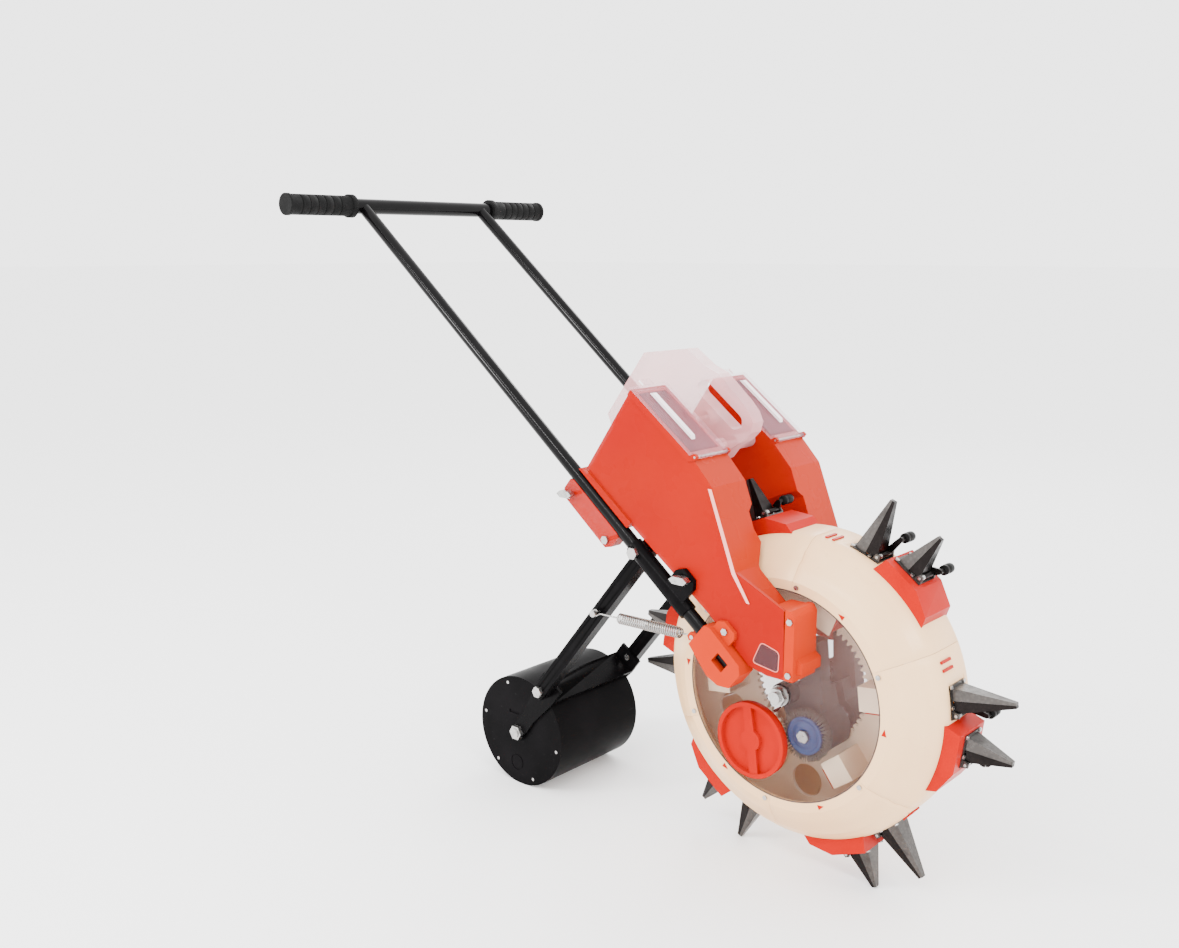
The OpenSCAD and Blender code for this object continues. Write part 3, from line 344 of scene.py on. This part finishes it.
def clear_sheet(name, colour, alpha, shade_below=None):
    """Clear moulded sheet with haze and fine scratches; the last argument is a colour of painted
    shade and the heights over which it fades out upwards.
    """
    f = Finish(name, colour, 0.1, Specular_IOR_Level=0.3)
    f.tint(f.ramp(f.noise(6, 4), 0.4, 0.75, 0, 0.5), tuple(v * 0.86 for v in colour[:3]))
    if shade_below:
        shade_colour, bottom, top = shade_below
        # painted shade: darker towards the bottom, full below the first height and gone above the
        # second
        f.tint(f.ramp(f.upward(), bottom, top, 1, 0), shade_colour)
    haze = f.ramp(f.noise(11, 5), 0.35, 0.75, alpha * 0.8, alpha * 1.3)
    f.links.new(haze, f.shader.inputs["Alpha"])
    f.vary_rough(f.noise(20, 5), 0.06, 0.22)
    f.bump(f.noise(320, 4, (1, 1, 0.05)), 0.05, 0.0002)
    f.bump(f.noise(4, 2), 0.2, 0.001)
    return f.mat


def frosted_guard(s):
    """Thick pinkish-white translucent moulding of the guard and its strap."""
    f = Finish("frosted_guard", s.guard, 0.3, Specular_IOR_Level=0.4)
    f.tint(f.ramp(f.noise(5, 2), 0.4, 0.7, 0, 0.6), (0.8, 0.45, 0.42))
    haze = f.ramp(f.noise(7, 2), 0.3, 0.7, 0.4, 0.52)
    f.links.new(haze, f.shader.inputs["Alpha"])
    f.vary_rough(f.noise(18, 4), 0.25, 0.42)
    f.bump(f.noise(8, 3), 0.2, 0.001)
    return f.mat


def natural_plastic(name, c):
    """Uncoloured polypropylene: creamy, waxy, with cloudy flow and faint soil."""
    f = Finish(name, c, 0.38, Specular_IOR_Level=0.4)
    f.tint(f.ramp(f.noise(4.5, 3, distortion=0.5), 0.38, 0.7, 0, 0.6),
           (c[0] * 0.86, c[1] * 0.76, c[2] * 0.66))
    f.tint(f.ramp(f.noise(11, 4), 0.52, 0.8, 0, 0.5),
           (min(1, c[0] * 1.12), c[1] * 1.15, c[2] * 1.2))
    f.tint(f.ramp(f.noise(90, 4), 0.66, 0.76, 0, 0.25),
           (c[0] * 0.66, c[1] * 0.6, c[2] * 0.55))
    f.vary_rough(f.noise(15, 4), 0.28, 0.48)
    f.bump(f.noise(6, 2), 0.2, 0.0014)
    f.bump(f.noise(600, 2), 0.08, 0.0002)
    return f.mat


def sheet_steel(name, colour, rough=0.34):
    """Galvanised or dark sheet with spangle, drawn scratches and dark smears."""
    f = Finish(name, colour, rough, 0.92)
    f.tint(f.ramp(f.cells(240), 0.15, 0.6, 0, 0.55), tuple(v * 0.62 for v in colour[:3]))
    f.tint(f.ramp(f.noise(45, 6), 0.52, 0.7, 0, 0.6), tuple(v * 0.4 for v in colour[:3]))
    f.tint(f.ramp(f.noise(130, 5, (1, 1, 0.2)), 0.66, 0.72, 0, 0.4),
           tuple(min(1, v * 1.5) for v in colour[:3]))
    f.vary_rough(f.noise(90, 5), rough - 0.1, rough + 0.16)
    f.bump(f.noise(260, 4), 0.2, 0.0004)
    f.bump(f.noise(30, 2), 0.25, 0.001)
    return f.mat


def zinc(name="zinc_plate", colour=(0.4, 0.39, 0.38)):
    """Bright zinc plate, a little dull in places."""
    f = Finish(name, colour, 0.24, 0.95)
    f.tint(f.ramp(f.noise(120, 5), 0.5, 0.72, 0, 0.6), tuple(v * 0.55 for v in colour[:3]))
    f.vary_rough(f.noise(150, 4), 0.16, 0.4)
    f.bump(f.noise(500, 3), 0.12, 0.0002)
    return f.mat


def grey_plastic():
    """Dark grey glass-filled plastic of the metering cases."""
    f = Finish("grey_plastic", (0.035, 0.03, 0.031), 0.5, Specular_IOR_Level=0.15)
    f.tint(f.ramp(f.noise(30, 6), 0.45, 0.75, 0, 0.6), (0.06, 0.054, 0.054))
    f.vary_rough(f.noise(40, 4), 0.4, 0.62)
    f.bump(f.noise(350, 4), 0.2, 0.0003)
    return f.mat


def blue_plastic(s):
    """Deep blue hub plastic."""
    f = Finish("blue_plastic", s.blue, 0.35, Specular_IOR_Level=0.2)
    f.tint(f.ramp(f.noise(60, 4), 0.45, 0.75, 0, 0.5), (0.008, 0.025, 0.09))
    f.vary_rough(f.noise(70, 4), 0.28, 0.48)
    f.bump(f.noise(500, 2), 0.12, 0.0002)
    return f.mat


def bristle():
    """Grey nylon bristle."""
    f = Finish("nylon_bristle", (0.07, 0.06, 0.048), 0.5)
    f.tint(f.ramp(f.noise(800, 2), 0.4, 0.7, 0, 0.7), (0.13, 0.11, 0.09))
    f.bump(f.noise(2000, 2), 0.2, 0.0001)
    return f.mat


# ---- dressing of the CAD nodes -------------------------------------------------
def dress(node, material, bevel=0.0, segments=2):
    """Gives a CAD node its finish, and rounds its sharp edges without moving it."""
    obj = NODES[node]
    obj.data.materials.clear()
    obj.data.materials.append(material)
    if bevel:
        weld = obj.modifiers.new("weld", "WELD")
        weld.merge_threshold = WELD_GAP
        round_off = obj.modifiers.new("edge_radius", "BEVEL")
        round_off.width = bevel
        round_off.segments = segments
        round_off.limit_method = "ANGLE"
        round_off.angle_limit = math.radians(SHARP_ANGLE)
        round_off.use_clamp_overlap = True
        round_off.harden_normals = True


def recolour_faces(node, material, test):
    """Gives a second finish to those faces of a CAD node whose vertices pass the test."""
    mesh = NODES[node].data
    mesh.materials.append(material)
    index = len(mesh.materials) - 1
    for face in mesh.polygons:
        if test([mesh.vertices[v].co for v in face.vertices]):
            face.material_index = index


def slice_centre(node, end, depth):
    """Middle of a node's mesh within depth of its low or high X end."""
    pts = [v.co for v in NODES[node].data.vertices]
    edge = (max if end > 0 else min)(p.x for p in pts)
    near = [p for p in pts if abs(p.x - edge) <= 2 * depth]
    z = (min(p.z for p in near) + max(p.z for p in near)) / 2
    y = (min(p.y for p in near) + max(p.y for p in near)) / 2
    return Vector((edge - end * depth, y, z))


def jaw_axes(jaw):
    """Hinge point of a jaw with its outward and forward directions in the XZ plane."""
    hinge = Vector(JOINTS[jaw + "_hinge"]["pos_m"])
    hinge.y = 0
    arm = hinge - Vector((AXLE.x, 0, AXLE.z))
    a = math.atan2(arm.z, arm.x) + math.asin(JAW_SET_OFF / arm.length)
    return hinge, Vector((math.cos(a), 0, math.sin(a))), Vector((math.sin(a), 0, -math.cos(a)))


def rounded(corners, radius, steps):
    """Closed outline in the XZ plane with its corners rounded by short curves."""
    out = []
    for i, p in enumerate(corners):
        a = p + (corners[i - 1] - p).normalized() * radius
        b = p + (corners[(i + 1) % len(corners)] - p).normalized() * radius
        for k in range(steps + 1):
            t = k / steps
            out.append(a.lerp(p, t).lerp(p.lerp(b, t), t))
    return out


def shrunk(outline, amount):
    """The outline drawn in towards its middle."""
    middle = sum(outline, Vector()) / len(outline)
    return [middle.lerp(p, amount) for p in outline]


def hopper_face():
    """Distance of the hoppers' outer side walls from the mid-plane."""
    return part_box("spout_blocks")[1].y


# ---- settings ------------------------------------------------------------------
class PlanterColours(bpy.types.PropertyGroup):
    paint: FloatVectorProperty(name="Tube paint", description="Colour of tubes and roller",
                               default=(0.002, 0.0018, 0.002), subtype="COLOR", size=3)
    orange: FloatVectorProperty(name="Orange", description="Colour of seats and caps",
                                default=(0.34, 0.004, 0.001), subtype="COLOR", size=3)
    bracket: FloatVectorProperty(name="Bracket orange", description="Sockets and spouts",
                                 default=(0.4, 0.02, 0.001), subtype="COLOR", size=3)
    hopper: FloatVectorProperty(name="Hopper", description="Colour of the hoppers",
                                default=(0.3, 0.003, 0.0015), subtype="COLOR", size=3)
    # lighter orange painted as light on the hoppers' forward and upward faces, also used for
    # random lighter patches
    hopper_lit_face_and_mottle: FloatVectorProperty(name="Hopper front", description="Thin front walls",
                                      default=(0.38, 0.02, 0.001), subtype="COLOR", size=3)
    guard: FloatVectorProperty(name="Guard", description="Colour of the centre guard",
                               default=(0.72, 0.38, 0.4), subtype="COLOR", size=3)
    drum: FloatVectorProperty(name="Drum", description="Colour of the moulded drum",
                              default=(0.82, 0.52, 0.27), subtype="COLOR", size=3)
    blue: FloatVectorProperty(name="Hub blue", description="Colour of the brush hubs",
                              default=(0.014, 0.045, 0.14), subtype="COLOR", size=3)


class PlanterSizes(bpy.types.PropertyGroup):
    edge: FloatProperty(name="Edge radius", description="Rounding of moulded edges",
                        default=1.4 * MM, unit="LENGTH", min=0.0)
    wire: FloatProperty(name="Spring wire", description="Radius of the spring wire",
                        default=1.25 * MM, unit="LENGTH", min=0.0005)
    coil: FloatProperty(name="Spring coil", description="Outer radius of the coil",
                        default=8.2 * MM, unit="LENGTH", min=0.003)
    turns: IntProperty(name="Spring turns", description="Turns in each spring",
                       default=30, min=8)
    tufts: IntProperty(name="Brush tufts", description="Tufts round each brush wheel",
                       default=46, min=12)
    hub: FloatProperty(name="Brush hub", description="Radius of the blue hub",
                       default=26.5 * MM, unit="LENGTH", min=0.01)
    knob: FloatProperty(name="Knob radius", description="Radius of the opening knobs",
                        default=6.9 * MM, unit="LENGTH", min=0.004)


# ---- operators -----------------------------------------------------------------
class PLANTER_OT_steelwork(bpy.types.Operator):
    """Handlebar, poles, sleeves, press arms, yoke and roller in black enamel"""
    bl_idname = "planter.steelwork"
    bl_label = "Steelwork"

    def execute(self, context):
        colours = context.scene.planter_colours
        enamel = black_paint(colours)
        tube_enamel = black_paint(colours, "tube_enamel", 0.13, 0.09)
        for node in ("handlebar", "right_pole", "left_pole"):
            dress(node, tube_enamel)
        for node in ("clamp_sleeves", "press_arms", "yoke"):
            dress(node, enamel, 1.2 * MM)
        drum_paint = roller_paint(colours)
        dress("roller_shell", drum_paint)
        dress("roller_ends", drum_paint, 0.8 * MM)
        return {"FINISHED"}


class PLANTER_OT_grips(bpy.types.Operator):
    """Ribbed rubber grips"""
    bl_idname = "planter.grips"
    bl_label = "Grips"

    def execute(self, context):
        rubber = grip_rubber()
        for node in ("right_grip", "left_grip"):
            dress(node, rubber, 0.9 * MM)
        return {"FINISHED"}


class PLANTER_OT_hoppers(bpy.types.Operator):
    """Hoppers, clamps, sockets and spout blocks"""
    bl_idname = "planter.hoppers"
    bl_label = "Hoppers and brackets"

    def execute(self, context):
        colours = context.scene.planter_colours
        sizes = context.scene.planter_sizes
        shell = hopper_shell(colours)
        for node in ("seed_hopper", "fertilizer_hopper", "pole_clamps"):
            dress(node, shell, sizes.edge * 1.4, 3)
        # painted highlight: the top faces of the raised bead on the hopper sides get a light pink
        # finish
        bead_highlight = natural_plastic("bead_painted_highlight", (0.85, 0.3, 0.26))
        for node in ("seed_hopper", "fertilizer_hopper"):
            recolour_faces(node, bead_highlight, lambda points: all(
                abs(abs(p.y) - hopper_face() - BEAD_HEIGHT) < 0.2 * MM for p in points))
        pane = clear_sheet("outlet_pane", (0.05, 0.02, 0.024), 0.4)
        # painted highlight: the rim round each pane is a real rim, coloured light pink as a
        # painted highlight
        rim_highlight = natural_plastic("pane_highlight_rim", (0.7, 0.16, 0.12))
        for side, s in SIDES.items():
            y = s * hopper_face()
            outline = rounded(PANE, PANE_CORNER, PANE_STEPS)
            bm = bmesh.new()
            layers = [[bm.verts.new((p.x, y + s * t, p.z)) for p in ring] for ring, t in (
                (outline, 0.05 * MM), (outline, 0.5 * MM), (shrunk(outline, 0.92), 0.7 * MM))]
            for a, b in zip(layers, layers[1:]):
                for k in range(len(a)):
                    bm.faces.new((a[k - 1], a[k], b[k], b[k - 1]))
            bm.faces.new(layers[0])
            bm.faces.new(layers[-1])
            piece_from(bm, side + "_outlet_pane", "frame", pane, False)
            bm = bmesh.new()
            sweep(bm, [Vector((p.x, y + s * 0.5 * MM, p.z)) for p in outline], PANE_RIM, 6,
                  True)
            piece_from(bm, side + "_pane_highlight_rim", "frame", rim_highlight)
        bracket = orange_moulding("bracket_moulding", colours.bracket, 0.4)
        for node in ("right_socket", "left_socket", "spout_blocks"):
            dress(node, bracket, sizes.edge)
        return {"FINISHED"}


class PLANTER_OT_covers(bpy.types.Operator):
    """Clear lids, side discs and the frosted centre guard"""
    bl_idname = "planter.covers"
    bl_label = "Lids, discs and guard"

    def execute(self, context):
        colours = context.scene.planter_colours
        lid = clear_sheet("clear_lid", (0.6, 0.34, 0.4), 0.13)
        # painted highlight: a band of lid faces along the rib is coloured white
        rib_highlight = natural_plastic("rib_painted_highlight", (0.85, 0.78, 0.8))
        for node in ("right_lid", "left_lid"):
            dress(node, lid)
            low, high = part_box(node)
            edge = max(abs(low.y), abs(high.y))
            recolour_faces(node, rib_highlight, lambda points: all(
                edge - RIB_FAR < abs(p.y) < edge - RIB_NEAR for p in points))
        # painted shade: the side discs are darkened towards the bottom
        smoky = clear_sheet("smoky_disc", (0.26, 0.14, 0.12), 0.15,
                            ((0.04, 0.015, 0.012), AXLE.z - 0.09, AXLE.z + 0.08))
        dress("side_discs", smoky)
        dress("centre_guard", frosted_guard(colours))
        # a dark ring laid along the edge of each side disc
        dark_edge = Finish("disc_dark_edge", (0.05, 0.03, 0.03), 0.55)
        dark_edge.bump(dark_edge.noise(500, 2), 0.2, 0.0002)
        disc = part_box("side_discs")
        radius = (disc[1].x - disc[0].x) / 2
        for side, s in SIDES.items():
            bm = bmesh.new()
            y = s * (disc[1].y - 0.2 * MM)
            turned_ring(bm, AXLE, [(y, radius - 1.5 * MM), (y + s * 0.8 * MM, radius - 1.2 * MM),
                                   (y + s * 0.8 * MM, radius - 0.4 * MM), (y, radius - 0.1 * MM)])
            piece_from(bm, side + "_disc_dark_edge", "frame", dark_edge.mat)
        return {"FINISHED"}


class PLANTER_OT_drum(bpy.types.Operator):
    """Drum shell, web, cups, flaps, clips and seat blocks"""
    bl_idname = "planter.drum"
    bl_label = "Drum"

    def execute(self, context):
        colours = context.scene.planter_colours
        sizes = context.scene.planter_sizes
        natural = natural_plastic("natural_plastic", colours.drum)
        dress("drum_segments", natural, 0.8 * MM)
        pale = natural_plastic("pale_plastic", (0.85, 0.66, 0.48))
        dress("ring_gear", pale)
        dress("seed_scoops", pale, 0.6 * MM)
        orange = orange_moulding("orange_moulding", colours.orange)
        dress("bill_seats", orange, sizes.edge * 1.3, 3)
        for node in ("scoop_flaps", "seam_clips", "right_cap", "left_cap"):
            dress(node, orange, 0.6 * MM)
        dress("drum_arrows", orange)
        return {"FINISHED"}


class PLANTER_OT_duckbills(bpy.types.Operator):
    """Fixed and opening jaws with their rubber knobs"""
    bl_idname = "planter.duckbills"
    bl_label = "Duckbills"

    def execute(self, context):
        sizes = context.scene.planter_sizes
        dress("fixed_jaws", sheet_steel("galvanised_sheet", (0.085, 0.077, 0.072)),
              0.5 * MM)
        # the opening jaws get a very dark steel colour
        dark = sheet_steel("dark_jaw_steel", (0.012, 0.0095, 0.009))
        rubber = Finish("knob_rubber", (0.004, 0.004, 0.004), 0.5, Specular_IOR_Level=0.08)
        rubber.tint(rubber.ramp(rubber.noise(200, 4), 0.5, 0.75, 0, 0.6), (0.012, 0.011, 0.01))
        rubber.bump(rubber.noise(900, 3), 0.25, 0.0003)
        for jaw in JAWS:
            dress(jaw, dark, 0.5 * MM)
            hinge, out, ahead = jaw_axes(jaw)
            row = jaw[len("jaw_")]
            centre = hinge + ahead * KNOB_AHEAD + out * KNOB_RISE[row]
            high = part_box(jaw)[1].y
            low = high - KNOB_LENGTH
            r = sizes.knob
            bm = bmesh.new()
            turned_solid(bm, centre, [
                (low, r * 0.8), (low + 0.8 * MM, r), (low + 4 * MM, r),
                (low + 5 * MM, r * 0.9), (low + 7 * MM, r * 0.9), (low + 8 * MM, r),
                (high - 2.2 * MM, r), (high - 0.7 * MM, r * 0.82), (high, r * 0.5)], 28)
            piece_from(bm, jaw + "_knob", jaw + "_body", rubber.mat)
        return {"FINISHED"}


class PLANTER_OT_metering(bpy.types.Operator):
    """Metering cases, rings, shaft and the bristle wheels"""
    bl_idname = "planter.metering"
    bl_label = "Metering"

    def execute(self, context):
        colours = context.scene.planter_colours
        sizes = context.scene.planter_sizes
        grey = grey_plastic()
        for node in ("right_metering_case", "left_metering_case", "metering_rings"):
            dress(node, grey, 0.8 * MM)
        dress("metering_shaft", zinc("shaft_steel"))
        low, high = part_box("brush_wheels")
        reach = (high.x - low.x) / 2
        face = high.y
        back = face - HUB_WIDTH
        blue = blue_plastic(colours)
        nylon = bristle()
        rng = random.Random(BRISTLE_SEED)
        hub = sizes.hub
        for side, s in SIDES.items():
            bm = bmesh.new()
            turned_ring(bm, SHAFT, [(s * y, r) for y, r in (
                (back, HUB_BORE), (back, hub), (face - 1 * MM, hub), (face, hub - 1 * MM),
                (face, hub - 4 * MM), (face - 2.5 * MM, hub - 5 * MM),
                (face - 2.5 * MM, hub - 9 * MM), (face - 0.6 * MM, hub - 10 * MM),
                (face - 0.6 * MM, HUB_BORE))], 72)
            wheel = piece_from(bm, side + "_brush_hub", "metering", blue)
            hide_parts("brush_wheels")
            bm = bmesh.new()
            for i in range(sizes.tufts):
                a = 2 * math.pi * i / sizes.tufts
                for row in range(TUFT_ROWS):
                    y = s * (back + (2.5 + row * 4.5) * MM)
                    for _ in range(TUFT_BRISTLES):
                        b = a + rng.uniform(-0.02, 0.02)
                        c = b + rng.uniform(-0.05, 0.05)
                        y1 = y + rng.uniform(-1.6, 1.6) * MM
                        r1 = reach * rng.uniform(0.93, 0.985)
                        root = SHAFT + Vector((hub * 0.97 * math.cos(b), 0,
                                               hub * 0.97 * math.sin(b)))
                        tip = SHAFT + Vector((r1 * math.cos(c), 0, r1 * math.sin(c)))
                        root.y, tip.y = y, y1
                        sweep(bm, [root, tip], [0.55 * MM, 0.35 * MM], 4)
            piece_from(bm, side + "_brush_bristles", "metering", nylon)
        return {"FINISHED"}


class PLANTER_OT_springs(bpy.types.Operator):
    """Extension springs between the pole sockets and the press arms"""
    bl_idname = "planter.springs"
    bl_label = "Press springs"

    def execute(self, context):
        sizes = context.scene.planter_sizes
        plate = zinc("spring_wire", (0.36, 0.35, 0.34))
        wire = sizes.wire
        r = sizes.coil - wire
        for side in SIDES:
            node = side + "_spring"
            eye = slice_centre(node, 1, EYE_INSET)
            hook = slice_centre(node, -1, HOOK_INSET)
            along = (hook - eye).normalized()
            across = Vector((0, 1, 0))
            third = along.cross(across)
            start = eye + along * EYE_LEAD
            stop = hook - along * HOOK_LEAD
            path = []
            for k in range(LOOP_POINTS):
                q = math.radians(20 * k + 40)
                path.append(eye + EYE_LOOP * (math.cos(q) * along + math.sin(q) * third))
            path.append(eye + along * 9 * MM)
            path.append(eye + along * 15 * MM)
            steps = sizes.turns * TURN_POINTS
            for k in range(steps + 1):
                q = 2 * math.pi * k / TURN_POINTS
                grow = min(1.0, k / TURN_POINTS, (steps - k) / TURN_POINTS)
                point = start.lerp(stop, k / steps)
                path.append(point + r * max(0.1, grow) * (
                    math.cos(q) * across + math.sin(q) * third))
            path.append(stop + along * 6 * MM)
            path.append(hook - along * 9 * MM)
            for k in range(LOOP_POINTS):
                q = math.radians(140 - 20 * k)
                path.append(hook + HOOK_LOOP * (math.cos(q) * along + math.sin(q) * third))
            bm = bmesh.new()
            sweep(bm, path, wire, 8)
            coil = piece_from(bm, node + "_coil", None, plate)
            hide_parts(node)
            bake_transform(coil)
        return {"FINISHED"}


class PLANTER_OT_fasteners(bpy.types.Operator):
    """Bolts, screws, pins, axles and closing springs in zinc"""
    bl_idname = "planter.fasteners"
    bl_label = "Fasteners"

    def execute(self, context):
        plate = zinc()
        for node in ("frame_bolts", "arm_bolts"):
            dress(node, plate, 0.5 * MM)
        for node in ("axle", "roller_axle", "hinge_pins", "jaw_springs", "bill_screws",
                     "drum_screws", "roller_screws"):
            dress(node, plate)
        return {"FINISHED"}


class PLANTER_OT_stage(bpy.types.Operator):
    """Wide pale floor, soft light and the camera"""
    bl_idname = "planter.stage"
    bl_label = "Stage"

    def execute(self, context):
        scene = context.scene
        floor = Finish("studio_floor", (0.95, 0.95, 0.95), 0.9, Specular_IOR_Level=0.0)
        floor.tint(floor.ramp(floor.noise(1.5, 3), 0.4, 0.7, 0, 0.3), (0.96, 0.96, 0.96))
        bm = bmesh.new()
        ends = (-FLOOR_HALF, FLOOR_HALF)
        rows = [[bm.verts.new((x, y, 0)) for x in ends] for y in ends]
        bm.faces.new((rows[0][0], rows[0][1], rows[1][1], rows[1][0]))
        ground = piece_from(bm, "floor", None, floor.mat)

        camera = bpy.data.cameras.new("camera")
        camera.sensor_width = CAMERA_SENSOR
        camera.lens = CAMERA_LENS
        camera.clip_end = CAMERA_REACH
        view = bpy.data.objects.new("camera", camera)
        view.location = AXLE + CAMERA_FROM_AXLE
        view.rotation_euler = (math.radians(90 - CAMERA_DOWN), 0, math.radians(CAMERA_TURN))
        scene.collection.objects.link(view)
        scene.camera = view

        world = bpy.data.worlds.new("studio")
        world.use_nodes = True
        sky = world.node_tree.nodes["Background"]
        sky.inputs["Color"].default_value = (SKY, SKY, SKY, 1)
        sky.inputs["Strength"].default_value = SKY_STRENGTH
        scene.world = world
        for name, place, aim, size, power in LAMPS:
            lamp = bpy.data.lights.new(name, "AREA")
            lamp.size = size
            if name == "strip":
                lamp.shape = "RECTANGLE"
                lamp.size, lamp.size_y = STRIP_LENGTH, size
            lamp.energy = power
            light = bpy.data.objects.new(name, lamp)
            light.location = place
            light.rotation_euler = (Vector(aim) - Vector(place)).to_track_quat(
                "-Z", "Y").to_euler()
            scene.collection.objects.link(light)
        return {"FINISHED"}


STEPS = ("stage", "steelwork", "grips", "hoppers", "covers", "drum", "duckbills",
         "metering", "springs", "fasteners")


class PLANTER_PT_panel(bpy.types.Panel):
    """Lists the planter's parts in the sidebar"""
    bl_label = "Corn planter"
    bl_idname = "PLANTER_PT_panel"
    bl_space_type = "VIEW_3D"
    bl_region_type = "UI"
    bl_category = "Planter"

    def draw(self, context):
        for group in (context.scene.planter_colours, context.scene.planter_sizes):
            box = self.layout.box()
            for key in group.__annotations__:
                box.prop(group, key)
        for step in STEPS:
            self.layout.operator("planter." + step)


CLASSES = (PlanterColours, PlanterSizes, PLANTER_OT_stage, PLANTER_OT_steelwork,
           PLANTER_OT_grips, PLANTER_OT_hoppers, PLANTER_OT_covers, PLANTER_OT_drum,
           PLANTER_OT_duckbills, PLANTER_OT_metering, PLANTER_OT_springs,
           PLANTER_OT_fasteners, PLANTER_PT_panel)


def register():
    for cls in CLASSES:
        bpy.utils.register_class(cls)
    bpy.types.Scene.planter_colours = PointerProperty(type=PlanterColours)
    bpy.types.Scene.planter_sizes = PointerProperty(type=PlanterSizes)


def unregister():
    del bpy.types.Scene.planter_sizes
    del bpy.types.Scene.planter_colours
    for cls in reversed(CLASSES):
        bpy.utils.unregister_class(cls)


def main():
    register()
    for step in STEPS:
        getattr(bpy.ops.planter, step)()


if __name__ == "__main__":
    main()
